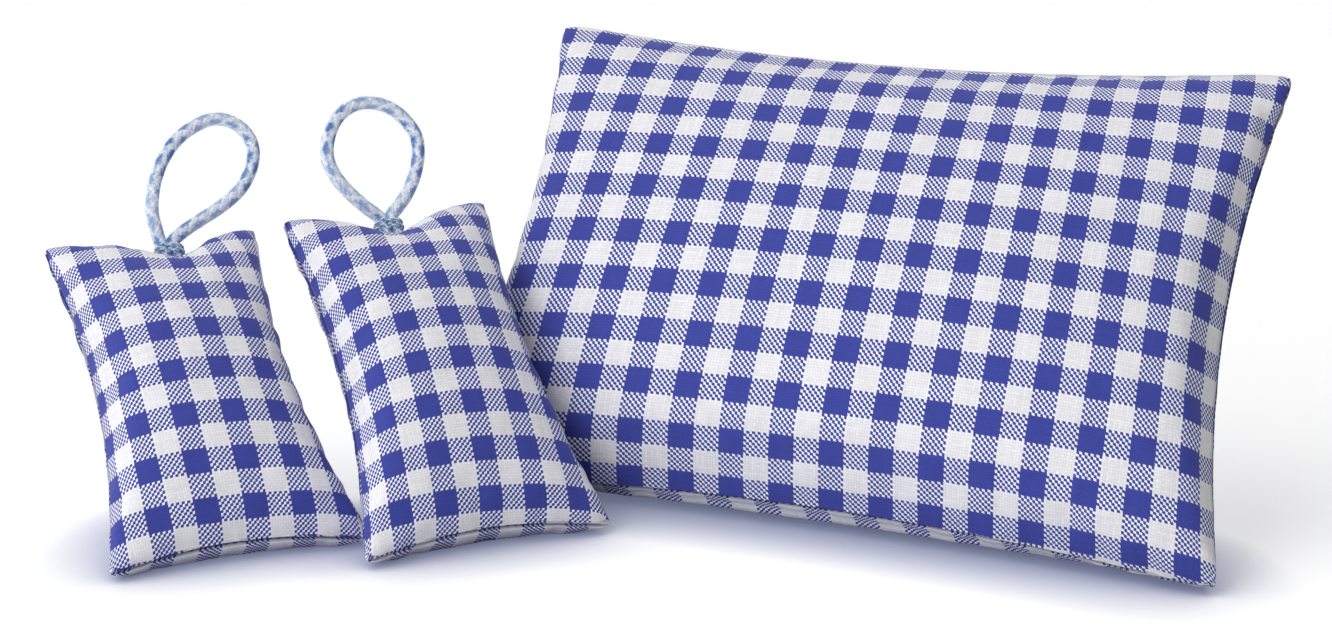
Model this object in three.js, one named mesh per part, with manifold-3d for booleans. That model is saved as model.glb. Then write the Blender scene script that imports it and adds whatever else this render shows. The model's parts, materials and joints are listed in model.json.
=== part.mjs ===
// Lavender set: two small hanging sachets and one pillow, each sewn from two gingham panels.
// Millimetres, +Z up. The cushions sit on the plane z = 0 and lean back from their bottom seams.
import * as THREE from 'three';
import { mergeVertices } from 'three/addons/utils/BufferGeometryUtils.js';
import Module from 'manifold-3d';

const wasm = await Module();
wasm.setup();

// Cloth, thread and clearances
const CLOTH = 0.7; // one layer of cotton
const ALLOWANCE = 8; // seam allowance, turned to the inside
const THREAD = 0.5; // sewing thread
const THREAD_ROOM = 0.25; // from the thread to the cloth on each side of the seam
const FIT = 0.3; // between pieces that touch
const FILL_EDGE = 1.5; // the fill stops this far inside the edge, where the bag is too thin for it
const SEAM_INSET = 2.5; // machine seam, from the cushion's edge
const STITCH = 7; // one hand stitch of the closed opening
const STITCH_SWAY = 0.8; // how far a hand stitch dips into the seam and out of it
const CORNER_EASE = 2; // how far a turned corner falls short of square
const CORNER_POWER = 16; // higher keeps the ease nearer to the corner

// Hanging sachets
const SACHET_TOP = 95;
const SACHET_BOTTOM = 109;
const SACHET_HEIGHT = 165;
const SACHET_CROWN = 28; // from the seam to the highest point of either panel
const SACHET_ROUND_ACROSS = 0.32; // powers of the crown towards the sides, the top and the foot: lower is boxier
const SACHET_ROUND_TOP = 0.56;
const SACHET_ROUND_FOOT = 0.6;
const SACHET_SIDE_DRAW = 10; // the sides pull in between the corners
const SACHET_TOP_DRAW = 3.4;
const SACHET_FOOT_DRAW = 7.6;
const SACHET_HEEL = 15; // over this height the back panel comes out from under the bottom seam
const SACHET_SLUMP = 11; // the fill sinks this far behind the bottom seam
const SACHET_SLUMP_REACH = 62;
const SACHET_LIFT = 2.6; // bottom corners above the table
const SACHET_OPENING = 60; // left open for the filling, then closed by hand
const SACHET_DIP = 9.5; // the cord pulls the top seam in this far
const SACHET_DIP_HALF = 17; // half the width of that dip
const DIP_EDGE_POWER = 2; // higher gives the dip a flatter bottom
const DIP_FADE_POWER = 6; // higher lets the dip fade sooner below the seam

// Pillow
const PILLOW_TOP = 333;
const PILLOW_BOTTOM = 348;
const PILLOW_HEIGHT = 219;
const PILLOW_CROWN = 38;
const PILLOW_ROUND_ACROSS = 0.3;
const PILLOW_ROUND_TOP = 0.61;
const PILLOW_ROUND_FOOT = 0.52;
const PILLOW_SIDE_DRAW = 13.3;
const PILLOW_TOP_DRAW = 9.4;
const PILLOW_FOOT_DRAW = 10.3;
const PILLOW_HEEL = 9;
const PILLOW_SLUMP = 26;
const PILLOW_SLUMP_REACH = 112;
const PILLOW_LIFT = 2;
const PILLOW_OPENING = 110;

// How the set stands: yaw turns a cushion's face to the right, lean tips its top back, in degrees
const PILLOW_YAW = -24.9;
const PILLOW_LEAN = 34;
const RIGHT_YAW = 25.5;
const RIGHT_LEAN = 46;
const LEFT_YAW = 24.5;
const LEFT_LEAN = 51;
const RIGHT_ALONG = 106.1; // right sachet's inner foot, along the pillow's bottom seam
const RIGHT_TUCK = 38.1; // how far both crowns may pass each other in front of the pillow
const LEFT_ALONG = 15; // left sachet's inner foot, along the right one's bottom seam
const LEFT_BEHIND = 26.6; // and behind it

// Braided cord, its sewn ends and the tack that binds them
const CORD = 5;
const CORD_SIDES = 10;
const CORD_STEPS = 34;
const LEG_GAP = 0.4; // between the two legs where they leave the tack
const LEG_PRESS = 0.4; // how far the two ends are pressed into each other in the seam
const CORD_DEPTH = 10; // sewn in below the edge
const TACK_THREAD = 0.7;
const TACK_TURNS = 3;
const TACK_GAP = 0.5; // between turns
const TACK_CLEAR = 1.6; // first turn above the seam's edge
const TACK_STEPS = 16; // per turn
const LOOP_TIP = 20; // each loop stands more upright than its cushion, degrees
const LEFT_LOOP_AT = 6.5; // from the middle of the top seam
const RIGHT_LOOP_AT = 0;

// Routes of the two loops in their own planes, from the pivot: across, up
const LEFT_ROUTE = [
  [-3.4, 7.1], [-3.7, 14.6], [-1, 25.7], [4.1, 36], [11.2, 44.7], [19.9, 50.7], [29.6, 54], [38.2, 51.8],
  [43.9, 45.2], [44.9, 37.1], [41.8, 28.6], [35.7, 20.6], [26.5, 14], [16.3, 8.7], [7.7, 4],
];
const RIGHT_ROUTE = [
  [-7.9, 5], [-14.4, 12.5], [-18.9, 20], [-20.8, 28], [-18.8, 36.5], [-13.8, 44.5], [-6.3, 49.5], [2.2, 50.5],
  [10.7, 47.5], [16.7, 41.5], [20.2, 34], [19.7, 26], [16.7, 17.5], [11.8, 9.5], [6.7, 4],
];

// Facets
const THREAD_SIDES = 5;
const STITCH_STEPS = 4; // per hand stitch
const SACHET_COLUMNS = 12;
const SACHET_ROWS = 14;
const PILLOW_COLUMNS = 16;
const PILLOW_ROWS = 12;
const SEAM_STATIONS = [-0.97, -0.6, -0.2, 0.2, 0.6, 0.97]; // of the seam thread, along one side

const radians = THREE.MathUtils.degToRad;
const SEAM_HALF = THREAD / 2 + THREAD_ROOM; // each panel starts this far from the seam's plane

const sachet = {
  top: SACHET_TOP,
  bottom: SACHET_BOTTOM,
  height: SACHET_HEIGHT,
  crown: SACHET_CROWN,
  roundAcross: SACHET_ROUND_ACROSS,
  roundTop: SACHET_ROUND_TOP,
  roundFoot: SACHET_ROUND_FOOT,
  sideDraw: SACHET_SIDE_DRAW,
  topDraw: SACHET_TOP_DRAW,
  footDraw: SACHET_FOOT_DRAW,
  heel: SACHET_HEEL,
  slump: SACHET_SLUMP,
  slumpReach: SACHET_SLUMP_REACH,
  lift: SACHET_LIFT,
  opening: SACHET_OPENING,
  dip: SACHET_DIP,
  dipHalf: SACHET_DIP_HALF,
  columns: SACHET_COLUMNS,
  rows: SACHET_ROWS,
};
const pillow = {
  top: PILLOW_TOP,
  bottom: PILLOW_BOTTOM,
  height: PILLOW_HEIGHT,
  crown: PILLOW_CROWN,
  roundAcross: PILLOW_ROUND_ACROSS,
  roundTop: PILLOW_ROUND_TOP,
  roundFoot: PILLOW_ROUND_FOOT,
  sideDraw: PILLOW_SIDE_DRAW,
  topDraw: PILLOW_TOP_DRAW,
  footDraw: PILLOW_FOOT_DRAW,
  heel: PILLOW_HEEL,
  slump: PILLOW_SLUMP,
  slumpReach: PILLOW_SLUMP_REACH,
  lift: PILLOW_LIFT,
  opening: PILLOW_OPENING,
  dip: 0,
  dipHalf: 1,
  dipAt: 0,
  columns: PILLOW_COLUMNS,
  rows: PILLOW_ROWS,
};

const FRONT = -1; // the front panel lies on the -Y side of the seam
const BACK = 1;

// Materials, by what the piece is made of
function cloth(colour) {
  return new THREE.MeshStandardMaterial({ color: colour, roughness: 0.9, metalness: 0 });
}
const COLOURS = {
  panel: 0x9296c6,
  fill: 0x6f6386,
  thread: 0x3a449f,
  cord: 0xa9c0dc,
  tack: 0x7fa6c4,
};

// A point of the seam's plane: s runs across and t up, both from -1 to 1 at the seam's edge.
// The sides and ends are drawn in between the corners, and the corners fall short of square.
// Where a cord is sewn in, the top seam dips, and the cloth below it follows for a short way.
function outline(cushion, s, t) {
  const up = (t + 1) / 2;
  const half = THREE.MathUtils.lerp(cushion.bottom, cushion.top, up) / 2;
  const ease = CORNER_EASE * (s * t) ** CORNER_POWER;
  const across = half - cushion.sideDraw * (1 - t * t) - ease;
  const low = cushion.footDraw * (1 - s * s) + ease;
  const high = cushion.height - cushion.topDraw * (1 - s * s) - ease;
  const fromCord = (s * cushion.top / 2 - cushion.dipAt) / cushion.dipHalf;
  const dip = cushion.dip * Math.exp(-(fromCord ** DIP_EDGE_POWER)) * up ** DIP_FADE_POWER;
  const z = THREE.MathUtils.lerp(low, high, up) - dip;
  return new THREE.Vector3(s * across, 0, z);
}

// The same point moved in from the edge, for what follows the seam inside the cushion.
function inset(cushion, s, t, distance) {
  const point = outline(cushion, s, t);
  point.x -= distance * s;
  point.z -= distance * t;
  return point;
}

// World height of a point in the leaning frame, and the direction that raises it.
function heightOf(cushion, lean, point) {
  return cushion.lift + point.z * Math.cos(lean) - point.y * Math.sin(lean);
}
function raise(lean, point, distance) {
  point.y -= distance * Math.sin(lean);
  point.z += distance * Math.cos(lean);
}

// How far the fill has sunk behind the bottom seam: nothing at the seam, most a little above it.
function slumpAt(cushion, s, t, side) {
  const share = ((t + 1) / 2) * cushion.height / cushion.slumpReach;
  if (side === FRONT || share >= 1) return 0;
  return cushion.slump * Math.sqrt(1 - s * s) * Math.sin(Math.PI * Math.sqrt(share));
}

// The crown's share from foot to top, 1 at its fullest.
function riseAt(cushion, t) {
  const { roundTop, roundFoot } = cushion;
  const rise = (at) => (1 - at) ** roundTop * (1 + at) ** roundFoot;
  return rise(t) / rise((roundFoot - roundTop) / (roundFoot + roundTop));
}

// Behind the bottom seam the back panel drops to the table before it runs back: 0 at the seam, 1 above the heel.
function heelAt(cushion, t, side) {
  const share = Math.min(1, ((t + 1) / 2) * cushion.height / cushion.heel);
  return side === FRONT ? 1 : 1 - (1 - share) ** 2;
}

// A crowned panel's outer surface, flattened where it would sink below a floor.
function crownPoint(cushion, lean, s, t, side) {
  const point = outline(cushion, s, t);
  const across = (1 - s * s) ** cushion.roundAcross;
  const crown = cushion.crown * across * riseAt(cushion, t) * heelAt(cushion, t, side);
  point.y = side * (SEAM_HALF + crown);
  raise(lean, point, -slumpAt(cushion, s, t, side));
  settle(cushion, lean, point, 0);
  return point;
}
function settle(cushion, lean, point, floor) {
  const below = floor - heightOf(cushion, lean, point);
  if (below > 0) raise(lean, point, below);
}

// Grid values crowd towards the seam, where the crown turns fastest.
function gridLines(count) {
  const lines = [];
  for (let i = 0; i <= count; i += 1) {
    const turn = (2 * i) / count - 1;
    lines.push(Math.abs(turn) === 1 ? turn : Math.sin((Math.PI / 2) * turn));
  }
  return lines;
}

// Rows and columns of a panel's edge, once round: bottom, right, top, left.
function edgeCells(columns, rows) {
  const cells = [];
  for (let i = 0; i < columns; i += 1) cells.push([i, 0]);
  for (let j = 0; j < rows; j += 1) cells.push([columns, j]);
  for (let i = columns; i > 0; i -= 1) cells.push([i, rows]);
  for (let j = rows; j > 0; j -= 1) cells.push([0, j]);
  return cells;
}

// The points of a panel's surface moved inwards by a depth, with its edge laid on a given loop.
function surfaceGrid(cushion, lean, side, depth, edgePoint) {
  const across = gridLines(cushion.columns);
  const up = gridLines(cushion.rows);
  const outer = up.map((t) => across.map((s) => crownPoint(cushion, lean, s, t, side)));
  const moved = outer.map((line, j) => line.map((point, i) => {
    const s = across[i];
    const t = up[j];
    if (Math.abs(s) === 1 || Math.abs(t) === 1) return edgePoint(s, t);
    if (depth === 0) return point.clone();
    const alongS = outer[j][i + 1].clone().sub(outer[j][i - 1]);
    const alongT = outer[j + 1][i].clone().sub(outer[j - 1][i]);
    const inward = alongS.cross(alongT).normalize().multiplyScalar(depth * side);
    const inner = point.clone().add(inward);
    settle(cushion, lean, inner, depth);
    return inner;
  }));
  return moved;
}

// A closed body between two grids whose edges are joined through a chain of loops.
function loftGrids(first, loops, last) {
  const rows = first.length - 1;
  const columns = first[0].length - 1;
  const cells = edgeCells(columns, rows);
  const points = [];
  const faces = [];
  const place = (point) => points.push(point) - 1;
  const index = (grid) => grid.map((line) => line.map(place));
  const firstIndex = index(first);
  const loopIndex = loops.map((loop) => loop.map(place));
  const lastIndex = index(last);
  // Each cell is split along the line from the nearest corner, so the four corners are alike.
  for (let j = 0; j < rows; j += 1) {
    for (let i = 0; i < columns; i += 1) {
      const quad = [[j, i], [j, i + 1], [j + 1, i + 1], [j + 1, i]];
      const turned = (2 * i < columns) !== (2 * j < rows);
      if (turned) quad.push(quad.shift());
      const [a, b, c, d] = quad.map(([row, column]) => firstIndex[row][column]);
      faces.push(a, b, c, a, c, d);
      const [e, f, g, h] = quad.map(([row, column]) => lastIndex[row][column]);
      faces.push(e, g, f, e, h, g);
    }
  }
  const edge = (grid) => cells.map(([i, j]) => grid[j][i]);
  const chain = [edge(firstIndex), ...loopIndex, edge(lastIndex)];
  for (let k = 0; k + 1 < chain.length; k += 1) {
    for (let i = 0; i < cells.length; i += 1) {
      const next = (i + 1) % cells.length;
      const [a, b, c, d] = [chain[k][i], chain[k][next], chain[k + 1][next], chain[k + 1][i]];
      faces.push(b, a, d, b, d, c);
    }
  }
  const geometry = new THREE.BufferGeometry().setFromPoints(points);
  geometry.setIndex(faces);
  return geometry;
}

// Turns every face of an indexed geometry round.
function flip(geometry) {
  const index = geometry.getIndex();
  for (let i = 0; i < index.count; i += 3) {
    const b = index.getX(i + 1);
    index.setX(i + 1, index.getX(i + 2));
    index.setX(i + 2, b);
  }
  return geometry;
}

// The edge cells' s and t values, in the order of edgeCells.
function edgeValues(cushion) {
  const across = gridLines(cushion.columns);
  const up = gridLines(cushion.rows);
  return edgeCells(cushion.columns, cushion.rows).map(([i, j]) => [across[i], up[j]]);
}

// One panel: crowned cloth whose edge folds in at the seam and lies flat as the seam allowance.
function panelGeometry(cushion, lean, side) {
  const seam = side * SEAM_HALF;
  const inside = side * (SEAM_HALF + CLOTH);
  const atSeam = (s, t) => inset(cushion, s, t, 0).setY(seam);
  const underFold = (s, t) => inset(cushion, s, t, CLOTH).setY(inside);
  const loop = (y) => edgeValues(cushion).map(([s, t]) => inset(cushion, s, t, ALLOWANCE).setY(y));
  const outer = surfaceGrid(cushion, lean, side, 0, atSeam);
  const inner = surfaceGrid(cushion, lean, side, CLOTH, underFold);
  const geometry = loftGrids(outer, [loop(seam), loop(inside)], inner);
  return side === FRONT ? geometry : flip(geometry);
}

// The fill takes the inside of both panels and has a groove round it for their allowances.
function fillGeometry(cushion, lean) {
  const depth = CLOTH + FIT;
  const side = SEAM_HALF + depth;
  const edge = (y) => (s, t) => inset(cushion, s, t, FILL_EDGE).setY(y);
  const groove = (y) => edgeValues(cushion).map(([s, t]) => inset(cushion, s, t, ALLOWANCE + FIT).setY(y));
  const front = surfaceGrid(cushion, lean, FRONT, depth, edge(FRONT * side));
  const back = surfaceGrid(cushion, lean, BACK, depth, edge(BACK * side));
  return loftGrids(front, [groove(FRONT * side), groove(BACK * side)], back);
}

// A round tube along a smooth path.
function tube(points, diameter, sides, steps) {
  const corners = [];
  for (let i = 0; i < sides; i += 1) {
    const turn = (2 * Math.PI * i) / sides;
    corners.push(new THREE.Vector2(Math.cos(turn), Math.sin(turn)).multiplyScalar(diameter / 2));
  }
  const path = new THREE.CatmullRomCurve3(points);
  const settings = { steps, extrudePath: path, bevelEnabled: false };
  return new THREE.ExtrudeGeometry(new THREE.Shape(corners), settings);
}

// Closed geometry to a solid for joining and cutting, and back.
function solidOf(geometry) {
  const bare = geometry.clone();
  bare.deleteAttribute('normal');
  bare.deleteAttribute('uv');
  const merged = mergeVertices(bare);
  const vertProperties = new Float32Array(merged.getAttribute('position').array);
  const triVerts = new Uint32Array(merged.getIndex().array);
  return new wasm.Manifold(new wasm.Mesh({ numProp: 3, vertProperties, triVerts }));
}
function geometryOf(solid) {
  const mesh = solid.getMesh();
  const geometry = new THREE.BufferGeometry();
  geometry.setAttribute('position', new THREE.BufferAttribute(mesh.vertProperties, 3));
  geometry.setIndex(new THREE.BufferAttribute(mesh.triVerts, 1));
  return geometry;
}

// The machine seam runs from one end of the opening round the cushion to the other.
function seamPoints(cushion) {
  const end = cushion.opening / cushion.bottom;
  const last = SEAM_STATIONS[SEAM_STATIONS.length - 1];
  const back = SEAM_STATIONS.slice().reverse();
  const values = [];
  for (const s of [end, (end + 1) / 2, last]) values.push([s, -1]);
  for (const t of SEAM_STATIONS) values.push([1, t]);
  for (const s of back) values.push([s, 1]);
  for (const t of back) values.push([-1, t]);
  for (const s of [-last, -(end + 1) / 2, -end]) values.push([s, -1]);
  return values.map(([s, t]) => inset(cushion, s, t, SEAM_INSET));
}
function seamGeometry(cushion, diameter) {
  const points = seamPoints(cushion);
  return tube(points, diameter, THREAD_SIDES, 2 * points.length);
}

// The hand stitches dip in and out of the bottom seam across the opening.
function closingGeometry(cushion) {
  const stitches = Math.round(cushion.opening / STITCH);
  const points = [];
  for (let i = 0; i <= stitches * STITCH_STEPS; i += 1) {
    const share = i / (stitches * STITCH_STEPS);
    const s = (2 * share - 1) * (cushion.opening / cushion.bottom);
    const point = outline(cushion, s, -1);
    point.z -= STITCH_SWAY * Math.cos((2 * Math.PI * i) / STITCH_STEPS);
    points.push(point);
  }
  return tube(points, THREAD, THREAD_SIDES, stitches * STITCH_STEPS);
}

// Heights along a sachet's own plane where the cord meets the top seam.
function loopHeights(cushion) {
  const s = cushion.dipAt / (cushion.top / 2);
  const edge = outline(cushion, s, 1).z;
  const tack = edge + TACK_CLEAR + TACK_THREAD / 2;
  const rise = TACK_TURNS * (TACK_THREAD + TACK_GAP);
  const end = tack + rise + TACK_THREAD / 2 + FIT;
  return { edge, tack, rise, end, pivot: end + FIT + CORD / 2 };
}

// The two cord ends side by side in the seam, at any diameter, as one pressed body.
function cordEnds(at, diameter, low, high) {
  const gap = (CORD - LEG_PRESS) / 2;
  const leg = (x) => {
    const geometry = new THREE.CylinderGeometry(diameter / 2, diameter / 2, high - low, CORD_SIDES);
    geometry.rotateX(Math.PI / 2);
    geometry.translate(x, 0, (low + high) / 2);
    return solidOf(geometry);
  };
  return leg(at - gap).add(leg(at + gap));
}

// The tack is one thread wound round both ends; its least gap to itself is measured and printed.
function tackGeometry(at, heights, name) {
  const gap = (CORD - LEG_PRESS) / 2;
  const radius = CORD / 2 + FIT + TACK_THREAD / 2;
  const around = 2 * Math.PI * radius + 4 * gap;
  const wound = (share) => {
    const half = around / 2;
    const along = (share * around) % around;
    const side = along < half ? 1 : -1;
    const rest = along % half;
    const flat = Math.min(rest, 2 * gap);
    const turn = (rest - flat) / radius;
    const x = -gap + flat + radius * Math.sin(turn);
    return new THREE.Vector2(side * x, -side * radius * Math.cos(turn));
  };
  const points = [];
  for (let i = 0; i <= TACK_TURNS * TACK_STEPS; i += 1) {
    const share = i / TACK_STEPS;
    const flat = wound(share);
    points.push(new THREE.Vector3(at + flat.x, flat.y, heights.tack + (share / TACK_TURNS) * heights.rise));
  }
  let least = Infinity;
  points.forEach((a, i) => points.forEach((b, j) => {
    if (j - i > TACK_STEPS / 2) least = Math.min(least, a.distanceTo(b) - TACK_THREAD);
  }));
  console.log(`${name}: least gap to itself ${least.toFixed(2)} mm`);
  return tube(points, TACK_THREAD, THREAD_SIDES, TACK_TURNS * TACK_STEPS);
}

// The free loop turns about its pivot, so each leg ends in a ball centred on the pivot's axis.
function loopGeometry(route) {
  const leg = (CORD + LEG_GAP) / 2;
  const flat = [[-leg, 0], ...route, [leg, 0]];
  const points = flat.map(([across, up]) => new THREE.Vector3(across, 0, up));
  const ball = (x) => {
    const geometry = new THREE.SphereGeometry(CORD / 2, CORD_SIDES, CORD_SIDES / 2);
    geometry.translate(x, 0, 0);
    return solidOf(geometry);
  };
  const cord = solidOf(tube(points, CORD, CORD_SIDES, CORD_STEPS));
  return geometryOf(cord.add(ball(-leg)).add(ball(leg)));
}

function addPiece(group, name, geometry, colour) {
  const mesh = new THREE.Mesh(geometry, cloth(colour));
  mesh.name = name;
  group.add(mesh);
}

// A group whose +Z runs up the cushion and whose -Y is the front panel's side.
function leaningGroup(cushion, place, yaw, lean) {
  const stand = new THREE.Group();
  stand.position.set(place.x, place.y, 0);
  stand.rotation.z = radians(yaw);
  const leaning = new THREE.Group();
  leaning.position.z = cushion.lift;
  leaning.rotation.x = -radians(lean);
  stand.add(leaning);
  return { stand, leaning };
}

function buildPillow(place) {
  const lean = radians(PILLOW_LEAN);
  const { stand, leaning } = leaningGroup(pillow, place, PILLOW_YAW, PILLOW_LEAN);
  addPiece(leaning, 'pillow_front_panel', panelGeometry(pillow, lean, FRONT), COLOURS.panel);
  addPiece(leaning, 'pillow_back_panel', panelGeometry(pillow, lean, BACK), COLOURS.panel);
  addPiece(leaning, 'pillow_lavender_fill', fillGeometry(pillow, lean), COLOURS.fill);
  addPiece(leaning, 'pillow_seam_thread', seamGeometry(pillow, THREAD), COLOURS.thread);
  addPiece(leaning, 'pillow_closing_stitch', closingGeometry(pillow), COLOURS.thread);
  return stand;
}

// A hanging sachet: the panels and the fill leave room for the cord ends, which the seam pierces.
function buildSachet(name, place, yaw, leanDegrees, at, route) {
  const lean = radians(leanDegrees);
  const cushion = { ...sachet, dipAt: at };
  const { stand, leaning } = leaningGroup(cushion, place, yaw, leanDegrees);
  const heights = loopHeights(cushion);
  const low = heights.edge - CORD_DEPTH;
  const room = cordEnds(at, CORD + 2 * FIT, low - FIT, heights.end);
  const cut = (geometry) => geometryOf(solidOf(geometry).subtract(room));
  addPiece(leaning, `${name}_front_panel`, cut(panelGeometry(cushion, lean, FRONT)), COLOURS.panel);
  addPiece(leaning, `${name}_back_panel`, cut(panelGeometry(cushion, lean, BACK)), COLOURS.panel);
  addPiece(leaning, `${name}_lavender_fill`, cut(fillGeometry(cushion, lean)), COLOURS.fill);
  addPiece(leaning, `${name}_seam_thread`, seamGeometry(cushion, THREAD), COLOURS.thread);
  addPiece(leaning, `${name}_closing_stitch`, closingGeometry(cushion), COLOURS.thread);

  const pierced = solidOf(seamGeometry(cushion, THREAD + 2 * FIT));
  const ends = cordEnds(at, CORD, low, heights.end).subtract(pierced);
  addPiece(leaning, `${name}_cord_ends`, geometryOf(ends), COLOURS.cord);
  addPiece(leaning, `${name}_loop_tack`, tackGeometry(at, heights, `${name}_loop_tack`), COLOURS.tack);

  const turning = new THREE.Group();
  turning.position.set(at, 0, heights.pivot);
  turning.rotation.x = radians(LOOP_TIP);
  addPiece(turning, `${name}_hanging_loop`, loopGeometry(route), COLOURS.cord);
  leaning.add(turning);
  return stand;
}

// The directions along a cushion's bottom seam and out in front of it.
function alongOf(yaw) {
  return new THREE.Vector2(Math.cos(radians(yaw)), Math.sin(radians(yaw)));
}
function aheadOf(yaw) {
  return new THREE.Vector2(Math.sin(radians(yaw)), -Math.cos(radians(yaw)));
}
function step(from, along, alongBy, ahead, aheadBy) {
  return from.clone().addScaledVector(along, alongBy).addScaledVector(ahead, aheadBy);
}

// Each cushion is placed by a foot of its neighbour, from the pillow's left foot outwards.
function buildSet() {
  const pillowFoot = new THREE.Vector2(0, 0);
  const pillowAlong = alongOf(PILLOW_YAW);
  const pillowAhead = aheadOf(PILLOW_YAW);
  const ahead = PILLOW_CROWN + SACHET_CROWN - RIGHT_TUCK;
  const rightFoot = step(pillowFoot, pillowAlong, RIGHT_ALONG, pillowAhead, ahead);
  const rightAlong = alongOf(RIGHT_YAW);
  const rightAhead = aheadOf(RIGHT_YAW);
  const leftFoot = step(rightFoot, rightAlong, LEFT_ALONG - SACHET_BOTTOM, rightAhead, -LEFT_BEHIND);

  const pillowPlace = pillowFoot.clone().addScaledVector(pillowAlong, PILLOW_BOTTOM / 2);
  const rightPlace = rightFoot.clone().addScaledVector(rightAlong, -SACHET_BOTTOM / 2);
  const leftPlace = leftFoot.clone().addScaledVector(alongOf(LEFT_YAW), -SACHET_BOTTOM / 2);

  const cushions = new THREE.Group();
  cushions.add(buildPillow(pillowPlace));
  cushions.add(buildSachet('right', rightPlace, RIGHT_YAW, RIGHT_LEAN, RIGHT_LOOP_AT, RIGHT_ROUTE));
  cushions.add(buildSachet('left', leftPlace, LEFT_YAW, LEFT_LEAN, LEFT_LOOP_AT, LEFT_ROUTE));
  return cushions;
}

// The set's origin is under the middle of its box.
const lavenderSet = new THREE.Group();
const cushions = buildSet();
const middle = new THREE.Box3().setFromObject(cushions, true).getCenter(new THREE.Vector3());
cushions.position.set(-middle.x, -middle.y, 0);
lavenderSet.add(cushions);

export default lavenderSet;
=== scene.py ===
"""Looks of a gingham lavender set: two small hanging sachets and one pillow on a white table.

Sizes are in millimetres in the classes below and become metres when a mesh is made.
"""

import json
import logging
import math
from dataclasses import dataclass, field
from enum import Enum
from typing import Callable, Dict, List, Sequence, Tuple

import bpy
import numpy as np
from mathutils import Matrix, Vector

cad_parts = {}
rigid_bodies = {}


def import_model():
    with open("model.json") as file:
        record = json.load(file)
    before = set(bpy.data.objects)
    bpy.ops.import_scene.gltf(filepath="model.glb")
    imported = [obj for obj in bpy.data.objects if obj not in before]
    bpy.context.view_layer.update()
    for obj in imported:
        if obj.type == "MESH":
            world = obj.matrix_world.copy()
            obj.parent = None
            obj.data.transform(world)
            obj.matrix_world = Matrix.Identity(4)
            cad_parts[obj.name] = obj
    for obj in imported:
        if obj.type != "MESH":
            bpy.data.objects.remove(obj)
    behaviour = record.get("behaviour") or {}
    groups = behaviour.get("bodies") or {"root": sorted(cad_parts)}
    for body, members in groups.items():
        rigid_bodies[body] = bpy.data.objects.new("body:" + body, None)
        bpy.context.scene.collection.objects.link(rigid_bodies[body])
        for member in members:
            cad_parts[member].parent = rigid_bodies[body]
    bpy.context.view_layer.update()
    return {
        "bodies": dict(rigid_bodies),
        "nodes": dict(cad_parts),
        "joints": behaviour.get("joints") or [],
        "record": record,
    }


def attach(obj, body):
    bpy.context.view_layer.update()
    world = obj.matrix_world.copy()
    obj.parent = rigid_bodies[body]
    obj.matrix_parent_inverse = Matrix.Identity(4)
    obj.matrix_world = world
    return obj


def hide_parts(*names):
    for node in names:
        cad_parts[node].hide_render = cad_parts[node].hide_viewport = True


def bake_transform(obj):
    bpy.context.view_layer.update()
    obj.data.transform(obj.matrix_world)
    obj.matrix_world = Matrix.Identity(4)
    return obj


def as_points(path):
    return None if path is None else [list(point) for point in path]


LOG = logging.getLogger("lavender_set")
MM = 0.001
TINY = 1e-6

# The photograph's width and focal length in its own pixels, and the camera's sensor.
IMAGE_WIDTH = 1332
FOCAL_PIXELS = 2800.0
SENSOR_MM = 36.0

# Steps between two points of a smooth line, and along a line that is measured.
KNOT_STEPS = 24
FINE_STEPS = 801

# One ply of a thread: points round it, its half as a share of the thread, and its first side.
PLY_SIDES = 6
PLY_HALF = 0.29
PLY_START = (0.3, 0.2, 1.0)

# The run of the sewn panels as cloth: its frames, its scale to millimetres and its settings.
CLOTH_FRAMES = 20
CLOTH_SCALE = 0.01
CLOTH_SETTINGS = {
    "quality": 6,
    "mass": 0.15,
    "tension_stiffness": 25.0,
    "compression_stiffness": 25.0,
    "shear_stiffness": 12.0,
    "bending_stiffness": 0.6,
    "air_damping": 2.0,
    "use_pressure": True,
}

# Short names of types.
Socket = bpy.types.NodeSocket
Tree = bpy.types.NodeTree
Material = bpy.types.Material
Piece = bpy.types.Object
Face = Tuple[int, ...]
Colour = Tuple[int, int, int]
Span = Tuple[float, float]
Place = Tuple[float, float, float]


class Side(Enum):
    """The two panels of a cushion; the front lies on the -Y side of its seam."""

    FRONT = -1
    BACK = 1

    @property
    def word(self) -> str:
        """Name of the panel in piece names."""
        return "front" if self is Side.FRONT else "back"


class Yarn(Enum):
    """Yarn tones of the braided cord, as a share from white to mid blue."""

    WHITE = 0.04
    PALE = 0.24


# Mesh helpers


def deselect() -> None:
    """Leaves nothing selected, so an operator acts on the new piece alone."""
    if bpy.context.object is not None and bpy.context.object.mode != "OBJECT":
        bpy.ops.object.mode_set(mode="OBJECT")
    bpy.ops.object.select_all(action="DESELECT")


def activate(obj: Piece) -> None:
    """Makes one object the selected and active one."""
    deselect()
    obj.select_set(True)
    bpy.context.view_layer.objects.active = obj


def new_mesh_object(name: str, verts: np.ndarray, faces: Sequence[Sequence[int]]) -> Piece:
    """Makes a mesh object at the origin with its place in its mesh.

    Args:
        name: Piece name.
        verts: Points in metres, one row each.
        faces: Corner indices of each face.

    Returns:
        The linked object.
    """
    mesh = bpy.data.meshes.new(name)
    mesh.from_pydata([tuple(v) for v in verts], [], [tuple(f) for f in faces])
    mesh.update()
    obj = bpy.data.objects.new(name, mesh)
    bpy.context.scene.collection.objects.link(obj)
    return obj


def read_points(mesh: bpy.types.Mesh) -> np.ndarray:
    """Reads a mesh's points as rows."""
    flat = np.zeros(len(mesh.vertices) * 3)
    mesh.vertices.foreach_get("co", flat)
    return flat.reshape(-1, 3)


def write_points(mesh: bpy.types.Mesh, points: np.ndarray) -> None:
    """Writes rows of points into a mesh."""
    mesh.vertices.foreach_set("co", points.astype(np.float32).ravel())
    mesh.update()


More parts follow.
